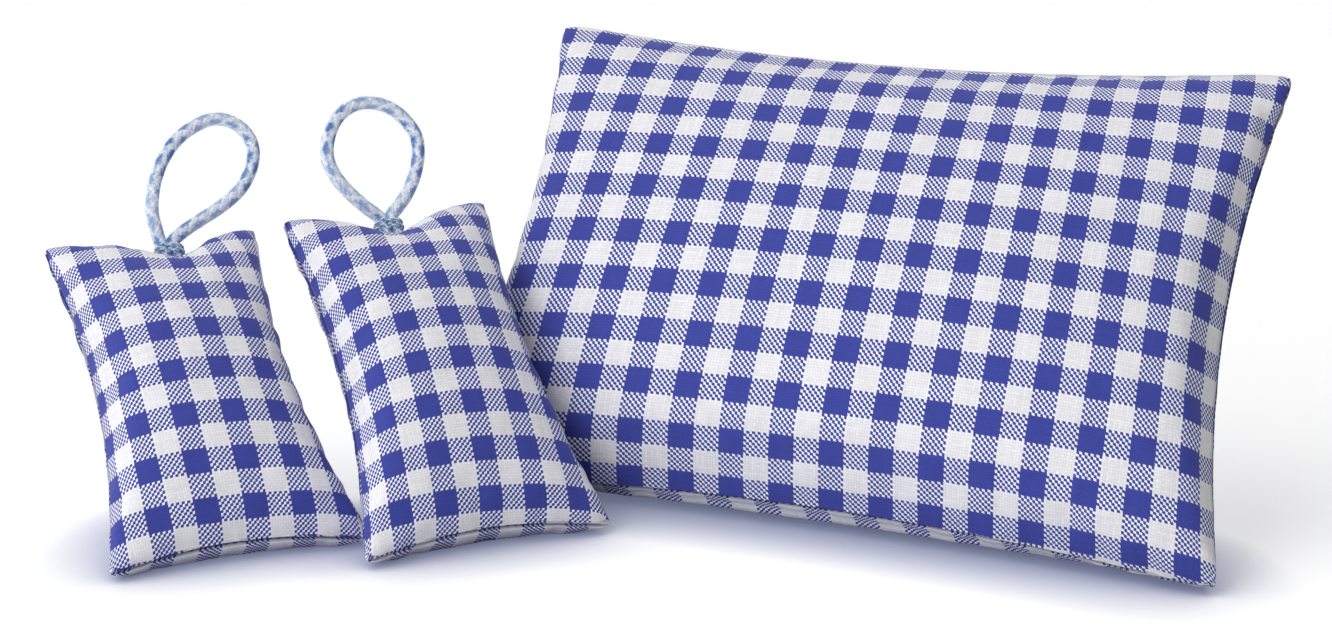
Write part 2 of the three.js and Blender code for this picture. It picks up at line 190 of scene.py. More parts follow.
def apply_modifier(obj: Piece, kind: str, **values: object) -> None:
    """Adds a modifier with its values and applies it.

    Args:
        obj: The object to change.
        kind: Modifier type, such as SUBSURF.
        values: Settings of the modifier.
    """
    activate(obj)
    modifier = obj.modifiers.new(kind.lower(), kind)
    for key, value in values.items():
        setattr(modifier, key, value)
    bpy.ops.object.modifier_apply(modifier=modifier.name)


def edit_mesh(obj: Piece, *steps: Callable[[], object]) -> None:
    """Runs operators on all of an object's mesh, one after the other."""
    activate(obj)
    bpy.ops.object.mode_set(mode="EDIT")
    bpy.ops.mesh.select_all(action="SELECT")
    for step in steps:
        step()
    bpy.ops.object.mode_set(mode="OBJECT")


def smooth_shade(obj: Piece) -> None:
    """Shades every face smooth."""
    activate(obj)
    bpy.ops.object.shade_smooth()


def write_value(obj: Piece, name: str, values: np.ndarray) -> None:
    """Stores one number per point under a name that a material can read."""
    attribute = obj.data.attributes.new(name, "FLOAT", "POINT")
    attribute.data.foreach_set("value", values.astype(np.float32))


def write_uv(obj: Piece, name: str, rows: np.ndarray) -> None:
    """Stores flat coordinates, one row per point, as a UV map."""
    layer = obj.data.uv_layers.new(name=name)
    corners = np.zeros(len(obj.data.loops), np.int32)
    obj.data.loops.foreach_get("vertex_index", corners)
    layer.data.foreach_set("uv", rows[corners].astype(np.float32).ravel())


def lengths_along(path: np.ndarray) -> np.ndarray:
    """Length from the start of a line to each of its points."""
    return np.concatenate([[0], np.cumsum(np.linalg.norm(np.diff(path, axis=0), axis=1))])


def sheet_faces(numbers: np.ndarray, turned: bool) -> List[Face]:
    """Faces of a grid of point numbers, with the other side out where turned."""
    a, b = numbers[:-1, :-1].ravel(), numbers[:-1, 1:].ravel()
    c, d = numbers[1:, 1:].ravel(), numbers[1:, :-1].ravel()
    return list(zip(d, c, b, a)) if turned else list(zip(a, b, c, d))


def smooth_path(points: Sequence[Sequence[float]], step: float) -> np.ndarray:
    """Draws a smooth line through points and cuts it into equal steps.

    Args:
        points: Points that the line passes through.
        step: Length of one step.

    Returns:
        Rows of points along the line.
    """
    knots = np.array(points, float)
    knots = np.vstack([2 * knots[0] - knots[1], knots, 2 * knots[-1] - knots[-2]])
    share = np.linspace(0, 1, KNOT_STEPS, endpoint=False)[:, None]
    rows = []
    for a, b, c, d in zip(knots, knots[1:], knots[2:], knots[3:]):
        bend = (2 * a - 5 * b + 4 * c - d) * share**2 + (3 * b - a - 3 * c + d) * share**3
        rows.append((2 * b + (c - a) * share + bend) / 2)
    dense = np.vstack(rows + [knots[-2:-1]])
    along = lengths_along(dense)
    count = max(2, int(round(along[-1] / step)) + 1)
    wanted = np.linspace(0, along[-1], count)
    return np.stack([np.interp(wanted, along, dense[:, k]) for k in range(3)], 1)


def path_frames(path: np.ndarray, first: Sequence[float]) -> Tuple[np.ndarray, np.ndarray]:
    """Carries a sideways direction along a path without twisting it.

    Args:
        path: Rows of points.
        first: Rough sideways direction at the start.

    Returns:
        Two unit directions square to the path at each point.
    """
    tangent = np.gradient(path, axis=0)
    tangent /= np.linalg.norm(tangent, axis=1)[:, None]
    side = np.zeros_like(path)
    current = np.array(first, float)
    for i, t in enumerate(tangent):
        current = current - t * (current @ t)
        current /= np.linalg.norm(current)
        side[i] = current
    return side, np.cross(tangent, side)


def tube_points(centre: np.ndarray, wide: np.ndarray, high: np.ndarray, sides: int) -> np.ndarray:
    """Points of an oval tube round a line, ring by ring.

    Args:
        centre: Points of the line.
        wide: Half width at each point, as a direction.
        high: Half height at each point, as a direction.
        sides: Points in a ring.

    Returns:
        Rows of points.
    """
    turn = (2 * math.pi * np.arange(sides) / sides)[None, :, None]
    ring = np.cos(turn) * wide[:, None] + np.sin(turn) * high[:, None]
    return (centre[:, None] + ring).reshape(-1, 3)


def tube_faces(rings: int, sides: int, start: int) -> List[Face]:
    """Faces of a tube made of rings, with both ends closed.

    Args:
        rings: Number of rings.
        sides: Points in a ring.
        start: Index of the first point.

    Returns:
        Corner indices of each face.
    """
    faces: List[Face] = []
    for i in range(rings - 1):
        for k in range(sides):
            a = start + i * sides + k
            b = start + i * sides + (k + 1) % sides
            faces.append((a, b, b + sides, a + sides))
    last = start + (rings - 1) * sides
    faces.append(tuple(range(start + sides - 1, start - 1, -1)))
    faces.append(tuple(range(last, last + sides)))
    return faces


# Shader helpers


class Nodes:
    """Short calls for building a node tree."""

    def __init__(self, tree: Tree) -> None:
        """Keeps the tree that nodes are added to."""
        self.tree = tree

    def add(self, kind: str, **values: object) -> bpy.types.Node:
        """Adds a node and sets its properties."""
        node = self.tree.nodes.new(kind)
        for key, value in values.items():
            setattr(node, key, value)
        return node

    def link(self, source: Socket, target: Socket) -> None:
        """Joins an output to an input."""
        self.tree.links.new(source, target)

    def put(self, socket: Socket, value: object) -> None:
        """Feeds an input from an output or sets it to a constant."""
        if isinstance(value, Socket):
            self.link(value, socket)
        else:
            socket.default_value = value

    def math(self, operation: str, *inputs: object) -> Socket:
        """Adds a Math node and returns its value."""
        node = self.add("ShaderNodeMath", operation=operation)
        for socket, value in zip(node.inputs, inputs):
            self.put(socket, value)
        return node.outputs[0]

    def span(self, value: object, low_high: Span) -> Socket:
        """Stretches a value from 0 to 1 over a span and returns it."""
        low, high = low_high
        return self.math("MULTIPLY_ADD", value, high - low, low)

    def mix_colour(self, share: object, first: object, second: object, blend: str = "MIX") -> Socket:
        """Mixes two colours and returns the result."""
        node = self.add("ShaderNodeMix", data_type="RGBA", blend_type=blend)
        self.put(node.inputs[0], share)
        self.put(node.inputs[6], first)
        self.put(node.inputs[7], second)
        return node.outputs[2]

    def mix_value(self, share: object, first: object, second: object) -> Socket:
        """Mixes two numbers and returns the result."""
        node = self.add("ShaderNodeMix", data_type="FLOAT")
        self.put(node.inputs[0], share)
        self.put(node.inputs[2], first)
        self.put(node.inputs[3], second)
        return node.outputs[0]

    def shaded(self, colour: object, level: object) -> Socket:
        """Makes a colour darker or lighter by a level and returns it."""
        grey = self.add("ShaderNodeCombineXYZ")
        for socket in grey.inputs:
            self.put(socket, level)
        return self.mix_colour(1.0, colour, grey.outputs[0], "MULTIPLY")

    def noise(self, place: Socket, scale: float, detail: float) -> Socket:
        """Adds a soft noise and returns its value."""
        node = self.add("ShaderNodeTexNoise")
        node.inputs["Scale"].default_value = scale
        node.inputs["Detail"].default_value = detail
        self.link(place, node.inputs["Vector"])
        return node.outputs["Fac"]

    def bump(self, height: Socket, size_mm: float, strength: float = 1.0, invert: bool = False) -> Socket:
        """Adds a relief of a size in millimetres and returns its normal."""
        node = self.add("ShaderNodeBump", invert=invert)
        node.inputs["Strength"].default_value = strength
        node.inputs["Distance"].default_value = size_mm * MM
        self.link(height, node.inputs["Height"])
        return node.outputs[0]


def new_group(name: str, inputs: Dict[str, float], outputs: Sequence[str]) -> Tuple[Tree, Nodes]:
    """Starts a shader node group with named number sockets.

    Args:
        name: Name of the group.
        inputs: Inputs and their defaults; a Vector input is added first.
        outputs: Output names.

    Returns:
        The tree and its helper.
    """
    tree = bpy.data.node_groups.new(name, "ShaderNodeTree")
    tree.interface.new_socket("Vector", in_out="INPUT", socket_type="NodeSocketVector")
    for key, value in inputs.items():
        socket = tree.interface.new_socket(key, in_out="INPUT", socket_type="NodeSocketFloat")
        socket.default_value = value
    for key in outputs:
        tree.interface.new_socket(key, in_out="OUTPUT", socket_type="NodeSocketFloat")
    return tree, Nodes(tree)


def srgb(red: int, green: int, blue: int) -> Tuple[float, float, float, float]:
    """Turns a display colour into the linear colour that a shader takes."""
    values = []
    for level in (red, green, blue):
        c = level / 255
        values.append(c / 12.92 if c <= 0.04045 else ((c + 0.055) / 1.055) ** 2.4)
    return (values[0], values[1], values[2], 1.0)


def plain_weave_group() -> Tree:
    """Builds the weave: which thread lies on top, how high it is and how it varies.

    Diagonal is 0 on the lines through the crossings with the warp on top and 1 on those through the others.

    Returns:
        A group that takes cloth coordinates in threads and gives masks and a height.
    """
    low_side = 0.45
    thread_gap = 7.31
    slub_rate = 0.12
    weft_tone, warp_tone = 311.5, 57.5
    weft_slub, warp_slub = 3.5, 91.5
    tree, n = new_group("plain weave", {}, ("Warp on top", "Height", "Thread tone", "Slub", "Diagonal"))
    inside = n.add("NodeGroupInput")
    outside = n.add("NodeGroupOutput")
    split = n.add("ShaderNodeSeparateXYZ")
    n.link(inside.outputs["Vector"], split.inputs[0])
    warp, weft = split.outputs[0], split.outputs[1]
    warp_number = n.math("FLOOR", warp)
    weft_number = n.math("FLOOR", weft)
    on_top = n.math("FLOORED_MODULO", n.math("ADD", warp_number, weft_number), 2.0)

    def arch(value: Socket, floor: float) -> Socket:
        """A rounded rise over one thread, from floor to 1."""
        wave = n.math("SINE", n.math("MULTIPLY", n.math("FRACT", value), math.pi))
        return n.span(wave, (floor, 1.0))

    warp_height = n.math("MULTIPLY", arch(warp, 0.0), arch(weft, low_side))
    weft_height = n.math("MULTIPLY", arch(weft, 0.0), arch(warp, low_side))

    def tone(number: Socket, seed: float) -> Socket:
        """An even random tone for each thread."""
        noise = n.add("ShaderNodeTexWhiteNoise", noise_dimensions="1D")
        n.link(n.math("ADD", number, seed), noise.inputs["W"])
        return noise.outputs["Value"]

    def slub(number: Socket, along: Socket, seed: float) -> Socket:
        """Thick and thin places along each thread."""
        noise = n.add("ShaderNodeTexNoise", noise_dimensions="2D")
        noise.inputs["Scale"].default_value = 1.0
        joined = n.add("ShaderNodeCombineXYZ")
        n.link(n.math("MULTIPLY_ADD", number, thread_gap, seed), joined.inputs[0])
        n.link(n.math("MULTIPLY", along, slub_rate), joined.inputs[1])
        n.link(joined.outputs[0], noise.inputs["Vector"])
        return noise.outputs["Fac"]

    results = {
        "Warp on top": on_top,
        "Height": n.mix_value(on_top, weft_height, warp_height),
        "Thread tone": n.mix_value(on_top, tone(weft_number, weft_tone), tone(warp_number, warp_tone)),
        "Slub": n.mix_value(
            on_top, slub(weft_number, warp, weft_slub), slub(warp_number, weft, warp_slub)
        ),
        "Diagonal": n.math("ABSOLUTE", n.math("WRAP", n.math("ADD", warp, weft), 1.0, -1.0)),
    }
    for key, value in results.items():
        n.link(value, outside.inputs[key])
    return tree


def fibre_group() -> Tree:
    """Builds fine fibre streaks that run along a yarn.

    Returns:
        A group that takes along and around coordinates and gives a streak.
    """
    fine_detail = 3.0
    tree, n = new_group("fibre streaks", {"Stretch": 1.0, "Scale": 1.0}, ("Streak",))
    inside = n.add("NodeGroupInput")
    outside = n.add("NodeGroupOutput")
    split = n.add("ShaderNodeSeparateXYZ")
    n.link(inside.outputs["Vector"], split.inputs[0])
    joined = n.add("ShaderNodeCombineXYZ")
    n.link(n.math("DIVIDE", split.outputs[0], inside.outputs["Stretch"]), joined.inputs[0])
    n.link(split.outputs[1], joined.inputs[1])
    n.link(split.outputs[2], joined.inputs[2])
    noise = n.add("ShaderNodeTexNoise")
    noise.inputs["Detail"].default_value = fine_detail
    n.link(joined.outputs[0], noise.inputs["Vector"])
    n.link(inside.outputs["Scale"], noise.inputs["Scale"])
    n.link(noise.outputs["Fac"], outside.inputs["Streak"])
    return tree


class Groups:
    """The shared effects, each built once."""

    _trees: Dict[str, Tree] = {}

    @classmethod
    def place(cls, n: Nodes, build: Callable[[], Tree]) -> bpy.types.Node:
        """Places a shared effect in a material.

        Args:
            n: The material's nodes.
            build: The function that builds the effect the first time.

        Returns:
            The group node.
        """
        if build.__name__ not in cls._trees:
            cls._trees[build.__name__] = build()
        return n.add("ShaderNodeGroup", node_tree=cls._trees[build.__name__])


def start_material(name: str) -> Tuple[Material, Nodes, bpy.types.Node]:
    """Starts a material with one Principled shader.

    Args:
        name: Material name.

    Returns:
        The material, its nodes and the shader node.
    """
    material = bpy.data.materials.new(name)
    material.use_nodes = True
    n = Nodes(material.node_tree)
    return material, n, material.node_tree.nodes["Principled BSDF"]


@dataclass(frozen=True)
class GinghamFinish:
    """Yarn-dyed plain-weave cotton with blue and white stripes both ways."""

    name: str = "gingham_cotton"
    blue: Colour = (61, 70, 160)
    white: Colour = (240, 239, 244)
    tinted_white: Colour = (246, 247, 253)
    # Painted shade: the navy that the seam attribute mixes into the cloth in the seam's groove and on its
    # fold.
    painted_seam_shade: Colour = (30, 34, 96)
    stripe_half: float = 0.25
    threads_per_pitch: float = 18.0
    thread_shift: Place = (0.5, 0.5, 0.0)
    dot_level: float = 0.30
    neck: float = 0.26
    thread_height_mm: float = 0.14
    relief: float = 0.5
    tone_shade: Span = (0.945, 1.035)
    crossing_shade: Span = (0.88, 1.04)
    slub_shade: Span = (0.88, 1.12)
    cloud_shade: Span = (0.95, 1.07)
    cloud_scale: float = 1.6
    cloud_detail: float = 4.0
    rough: Span = (0.92, 0.82)
    shine: float = 0.25
    sheen: float = 0.12
    sheen_rough: float = 0.5

    def material(self) -> Material:
        """Builds the cloth's material on the cloth UV map, whose unit is one pair of stripes.

        Returns:
            The material.
        """
        material, n, shader = start_material(self.name)
        uv = n.add("ShaderNodeUVMap", uv_map="cloth")
        scaled = n.add("ShaderNodeVectorMath", operation="MULTIPLY_ADD")
        n.link(uv.outputs[0], scaled.inputs[0])
        scaled.inputs[1].default_value = (self.threads_per_pitch,) * 3
        scaled.inputs[2].default_value = self.thread_shift
        weave = Groups.place(n, plain_weave_group)
        n.link(scaled.outputs[0], weave.inputs["Vector"])
        split = n.add("ShaderNodeSeparateXYZ")
        n.link(uv.outputs[0], split.inputs[0])

        def stripe(axis: int) -> Socket:
            """1 on a blue stripe, 0 on a white one."""
            near = n.math("ABSOLUTE", n.math("WRAP", split.outputs[axis], 0.5, -0.5))
            return n.math("LESS_THAN", near, self.stripe_half)

        warp, weft = stripe(0), stripe(1)
        on_top = n.mix_value(weave.outputs["Warp on top"], weft, warp)
        mixed = n.math("ABSOLUTE", n.math("SUBTRACT", warp, weft))
        height, diagonal = weave.outputs["Height"], weave.outputs["Diagonal"]
        between = n.math("MULTIPLY", mixed, n.math("LESS_THAN", height, self.dot_level))
        from_line = n.mix_value(warp, diagonal, n.math("SUBTRACT", 1.0, diagonal))
        joined = n.math("MULTIPLY", mixed, n.math("LESS_THAN", from_line, self.neck))
        blue_share = n.math("MULTIPLY", n.math("MAXIMUM", on_top, between), n.math("SUBTRACT", 1.0, joined))
        pale = n.mix_colour(mixed, srgb(*self.white), srgb(*self.tinted_white))
        colour = n.mix_colour(blue_share, pale, srgb(*self.blue))
        cloud = n.noise(uv.outputs[0], self.cloud_scale, self.cloud_detail)
        level = n.span(weave.outputs["Thread tone"], self.tone_shade)
        level = n.math("MULTIPLY", level, n.span(height, self.crossing_shade))
        level = n.math("MULTIPLY", level, n.span(cloud, self.cloud_shade))
        level = n.math("MULTIPLY", level, n.span(weave.outputs["Slub"], self.slub_shade))
        # Painted shade: the seam attribute turns the cloth navy in the seam's groove and on its fold, where
        # shadow falls.
        seam = n.add("ShaderNodeAttribute", attribute_name="seam")
        cloth = n.mix_colour(seam.outputs["Fac"], n.shaded(colour, level), srgb(*self.painted_seam_shade))
        n.link(cloth, shader.inputs["Base Color"])
        n.link(n.bump(height, self.thread_height_mm, self.relief), shader.inputs["Normal"])
        n.link(n.span(height, self.rough), shader.inputs["Roughness"])
        shader.inputs["Specular IOR Level"].default_value = self.shine
        shader.inputs["Sheen Weight"].default_value = self.sheen
        shader.inputs["Sheen Roughness"].default_value = self.sheen_rough
        return material


@dataclass(frozen=True)
class CordFinish:
    """Braid of white, pale blue and mid blue cotton yarns."""

    name: str = "braided_cotton"
    white: Colour = (252, 251, 255)
    pale: Colour = (176, 202, 236)
    blue: Colour = (76, 116, 182)
    fibre_stretch: float = 7.0
    fibre_scale: float = 9.0
    fibre_height_mm: float = 0.12
    relief: float = 0.5
    drift: Span = (-0.17, 0.17)
    shade: Span = (0.74, 1.24)
    rough: Span = (0.62, 0.82)
    shine: float = 0.35
    sheen: float = 0.15

    def material(self) -> Material:
        """Builds the cord's material on the yarn attribute and the yarn UV map.

        Returns:
            The material.
        """
        material, n, shader = start_material(self.name)
        yarn = n.add("ShaderNodeAttribute", attribute_name="yarn")
        ramp = n.add("ShaderNodeValToRGB")
        ramp.color_ramp.elements[0].color = srgb(*self.white)
        ramp.color_ramp.elements[1].color = srgb(*self.blue)
        middle = ramp.color_ramp.elements.new(0.5)
        middle.color = srgb(*self.pale)
        uv = n.add("ShaderNodeUVMap", uv_map="yarn")
        fibre = Groups.place(n, fibre_group)
        n.link(uv.outputs[0], fibre.inputs["Vector"])
        fibre.inputs["Stretch"].default_value = self.fibre_stretch
        fibre.inputs["Scale"].default_value = self.fibre_scale
        streak = fibre.outputs["Streak"]
        n.link(n.math("ADD", yarn.outputs["Fac"], n.span(streak, self.drift)), ramp.inputs["Fac"])
        n.link(n.shaded(ramp.outputs[0], n.span(streak, self.shade)), shader.inputs["Base Color"])
        n.link(n.bump(streak, self.fibre_height_mm, self.relief), shader.inputs["Normal"])
        n.link(n.span(streak, self.rough), shader.inputs["Roughness"])
        shader.inputs["Specular IOR Level"].default_value = self.shine
        shader.inputs["Sheen Weight"].default_value = self.sheen
        return material


@dataclass(frozen=True)
class ThreadFinish:
    """Sewing thread of two plies twisted together, each of its own colour."""

    name: str
    colour: Colour
    second: Colour
    fibre_scale: float = 2600.0
    fibre_detail: float = 2.0
    fibre_height_mm: float = 0.05
    relief: float = 0.4
    shade: Span = (0.75, 1.15)
    rough: Span = (0.5, 0.7)
    shine: float = 0.35

    def material(self) -> Material:
        """Builds the thread's material on Object coordinates.

        Returns:
            The material.
        """
        material, n, shader = start_material(self.name)
        place = n.add("ShaderNodeTexCoord")
        fibre = n.noise(place.outputs["Object"], self.fibre_scale, self.fibre_detail)
        ply = n.add("ShaderNodeAttribute", attribute_name="ply")
        plain = n.mix_colour(ply.outputs["Fac"], srgb(*self.colour), srgb(*self.second))
        n.link(n.shaded(plain, n.span(fibre, self.shade)), shader.inputs["Base Color"])
        n.link(n.bump(fibre, self.fibre_height_mm, self.relief), shader.inputs["Normal"])
        n.link(n.span(fibre, self.rough), shader.inputs["Roughness"])
        shader.inputs["Specular IOR Level"].default_value = self.shine
        return material


@dataclass(frozen=True)
class BudFinish:
    """Dried lavender buds."""

    name: str = "lavender_buds"
    light: Colour = (136, 122, 160)
    dark: Colour = (72, 66, 84)
    bud_mm: float = 3.0
    bud_height_mm: float = 1.0
    rough: Span = (0.85, 0.95)

    def material(self) -> Material:
        """Builds the fill's material on Object coordinates.

        Returns:
            The material.
        """
        material, n, shader = start_material(self.name)
        place = n.add("ShaderNodeTexCoord")
        cells = n.add("ShaderNodeTexVoronoi")
        cells.inputs["Scale"].default_value = 1.0 / (self.bud_mm * MM)
        n.link(place.outputs["Object"], cells.inputs["Vector"])
        far = cells.outputs["Distance"]
        n.link(n.mix_colour(far, srgb(*self.light), srgb(*self.dark)), shader.inputs["Base Color"])
        n.link(n.bump(far, self.bud_height_mm, invert=True), shader.inputs["Normal"])
        n.link(n.span(far, self.rough), shader.inputs["Roughness"])
        return material


# Cushions


@dataclass(frozen=True)
class Cut:
    """Sizes of one sewn and filled cushion, in millimetres, as the solids have them."""

    top: float
    bottom: float
    height: float
    crown: float
    round_across: float
    round_top: float
    round_foot: float
    side_draw: float
    top_draw: float
    foot_draw: float
    heel: float
    slump: float
    slump_reach: float
    opening: float
    columns: int
    rows: int
    corner_ease: float
    corner_power: int
    dip: float = 0.0
    dip_half: float = 1.0
    dip_at: float = 0.0
    dip_edge_power: int = 2
    dip_fade_power: int = 6
    seam_half: float = 0.5
    foot_extra: float = 34.0
    foot_reach: float = 9.0

    def outline(self, s: np.ndarray, t: np.ndarray) -> np.ndarray:
        """Points of the seam's plane; s runs across and t up, from -1 to 1 at the edge.

        Args:
            s: Shares across.
            t: Shares up.

        Returns:
            Points with X across and Z up the cushion.
        """
        up = (t + 1) / 2
        half = (self.bottom + (self.top - self.bottom) * up) / 2
        ease = self.corner_ease * (s * t) ** self.corner_power
        across = half - self.side_draw * (1 - t * t) - ease
        low = self.foot_draw * (1 - s * s) + ease
        high = self.height - self.top_draw * (1 - s * s) - ease
        from_cord = (s * self.top / 2 - self.dip_at) / self.dip_half
        dip = self.dip * np.exp(-(from_cord**self.dip_edge_power)) * up**self.dip_fade_power
        z = low + (high - low) * up - dip
        return np.stack([s * across, np.zeros_like(z), z], -1)

    def cord_exit(self) -> np.ndarray:
        """The point of the top seam's edge where a cord leaves it."""
        return self.outline(np.array(self.dip_at / (self.top / 2)), np.array(1.0))

    def rise(self, t: np.ndarray) -> np.ndarray:
        """Share of the crown's height at each share up."""

        def shape(v: np.ndarray) -> np.ndarray:
            """Rounded rise from the foot and fall to the top."""
            return (1 - v) ** self.round_top * (1 + v) ** self.round_foot

        peak = (self.round_foot - self.round_top) / (self.round_foot + self.round_top)
        return shape(np.clip(t, -1, 1)) / shape(peak)

    def crowned(self, s: np.ndarray, t: np.ndarray, side: Side) -> np.ndarray:
        """Points of a panel before it sinks or settles.

        Args:
            s: Shares across.
            t: Shares up.
            side: Which panel.

        Returns:
            Points of the filled panel.
        """
        points = self.outline(s, t)
        depth = self.crown * np.maximum(1 - s * s, 0) ** self.round_across * self.rise(t)
        if side is Side.BACK:
            near = np.clip((t + 1) / 2 * self.height / self.heel, 0, 1)
            depth = depth * (1 - (1 - near) ** 2)
        points[..., 1] = side.value * (self.seam_half + depth)
        return points

    def lines(self, count: int, across: bool) -> np.ndarray:
        """Grid values that lie evenly along the cloth through the panel's middle, closer by the foot.

        Args:
            count: Number of cells.
            across: True for s values, False for t values.

        Returns:
            Values from -1 to 1.
        """
        dense = np.sin(np.linspace(-math.pi / 2, math.pi / 2, FINE_STEPS))
        zero = np.zeros_like(dense)
        line = self.crowned(dense, zero, Side.FRONT) if across else self.crowned(zero, dense, Side.FRONT)
        along = lengths_along(line)
        if not across:
            along = along + self.foot_extra * (1 - np.exp(-along / self.foot_reach))
        return np.interp(np.linspace(0, along[-1], count + 1), along, dense)


@dataclass(frozen=True)
class Standing:
    """Where a cushion stands: the middle of its bottom seam, its yaw, its lean and its lift."""

    x: float
    y: float
    yaw: float
    lean: float
    lift: float

    def to_world(self, points: np.ndarray) -> np.ndarray:
        """Takes points from the cushion's own plane to the table, in millimetres."""
        lean, yaw = math.radians(self.lean), math.radians(self.yaw)
        x, y, z = points[..., 0], points[..., 1], points[..., 2]
        back = y * math.cos(lean) + z * math.sin(lean)
        high = -y * math.sin(lean) + z * math.cos(lean) + self.lift
        right = x * math.cos(yaw) - back * math.sin(yaw) + self.x
        away = x * math.sin(yaw) + back * math.cos(yaw) + self.y
        return np.stack([right, away, high], -1)


@dataclass(frozen=True)
class StripeRun:
    """How one family of stripes runs over a panel, counted in pairs of stripes.

    The count is taken at the panel's middle, then per way to the edge along the count and per way along
    the stripes; the stripes may fan out, bow and sag, crowd to the edges, pinch at their ends and twist.
    """

    middle: float
    rate: float
    slant: float = 0.0
    fan: float = 0.0
    bow: float = 0.0
    sag: float = 0.0
    crowd: float = 0.0
    pinch: float = 0.0
    twist: float = 0.0

    def count(self, own: np.ndarray, other: np.ndarray) -> np.ndarray:
        """Counts for shares of the way along the count and along the stripes."""
        straight = self.middle + self.rate * own + self.slant * other
        curved = self.fan * own * other + self.bow * own**2 + self.sag * other**2
        ends = self.crowd * own**3 + self.pinch * own * other**2 + self.twist * own**2 * other
        return straight + curved + ends


@dataclass(frozen=True)
class ClothLay:
    """How the check lies on a panel, across and up it; the cloth's other face may show."""

    across: StripeRun
    up: StripeRun
    turned: bool = False

    def coordinates(self, a: np.ndarray, b: np.ndarray) -> np.ndarray:
        """Cloth coordinates for shares of the way to the side and the top, along the cloth."""
        face = -1 if self.turned else 1
        return np.stack([face * self.across.count(a, b), self.up.count(b, a)], -1)

    def behind(self, shift: float, start: float) -> "ClothLay":
        """The lay of the back panel, which follows this one along the bottom seam.

        Args:
            shift: How far its columns are moved along the seam.
            start: Its count up at the bottom seam.

        Returns:
            The back panel's lay.
        """
        run = self.across
        across = StripeRun(
            run.middle - run.slant + run.sag + shift,
            run.rate - run.fan + run.pinch,
            bow=run.bow - run.twist,
            crowd=run.crowd,
        )
        return ClothLay(across, StripeRun(start + self.up.rate, self.up.rate), self.turned)


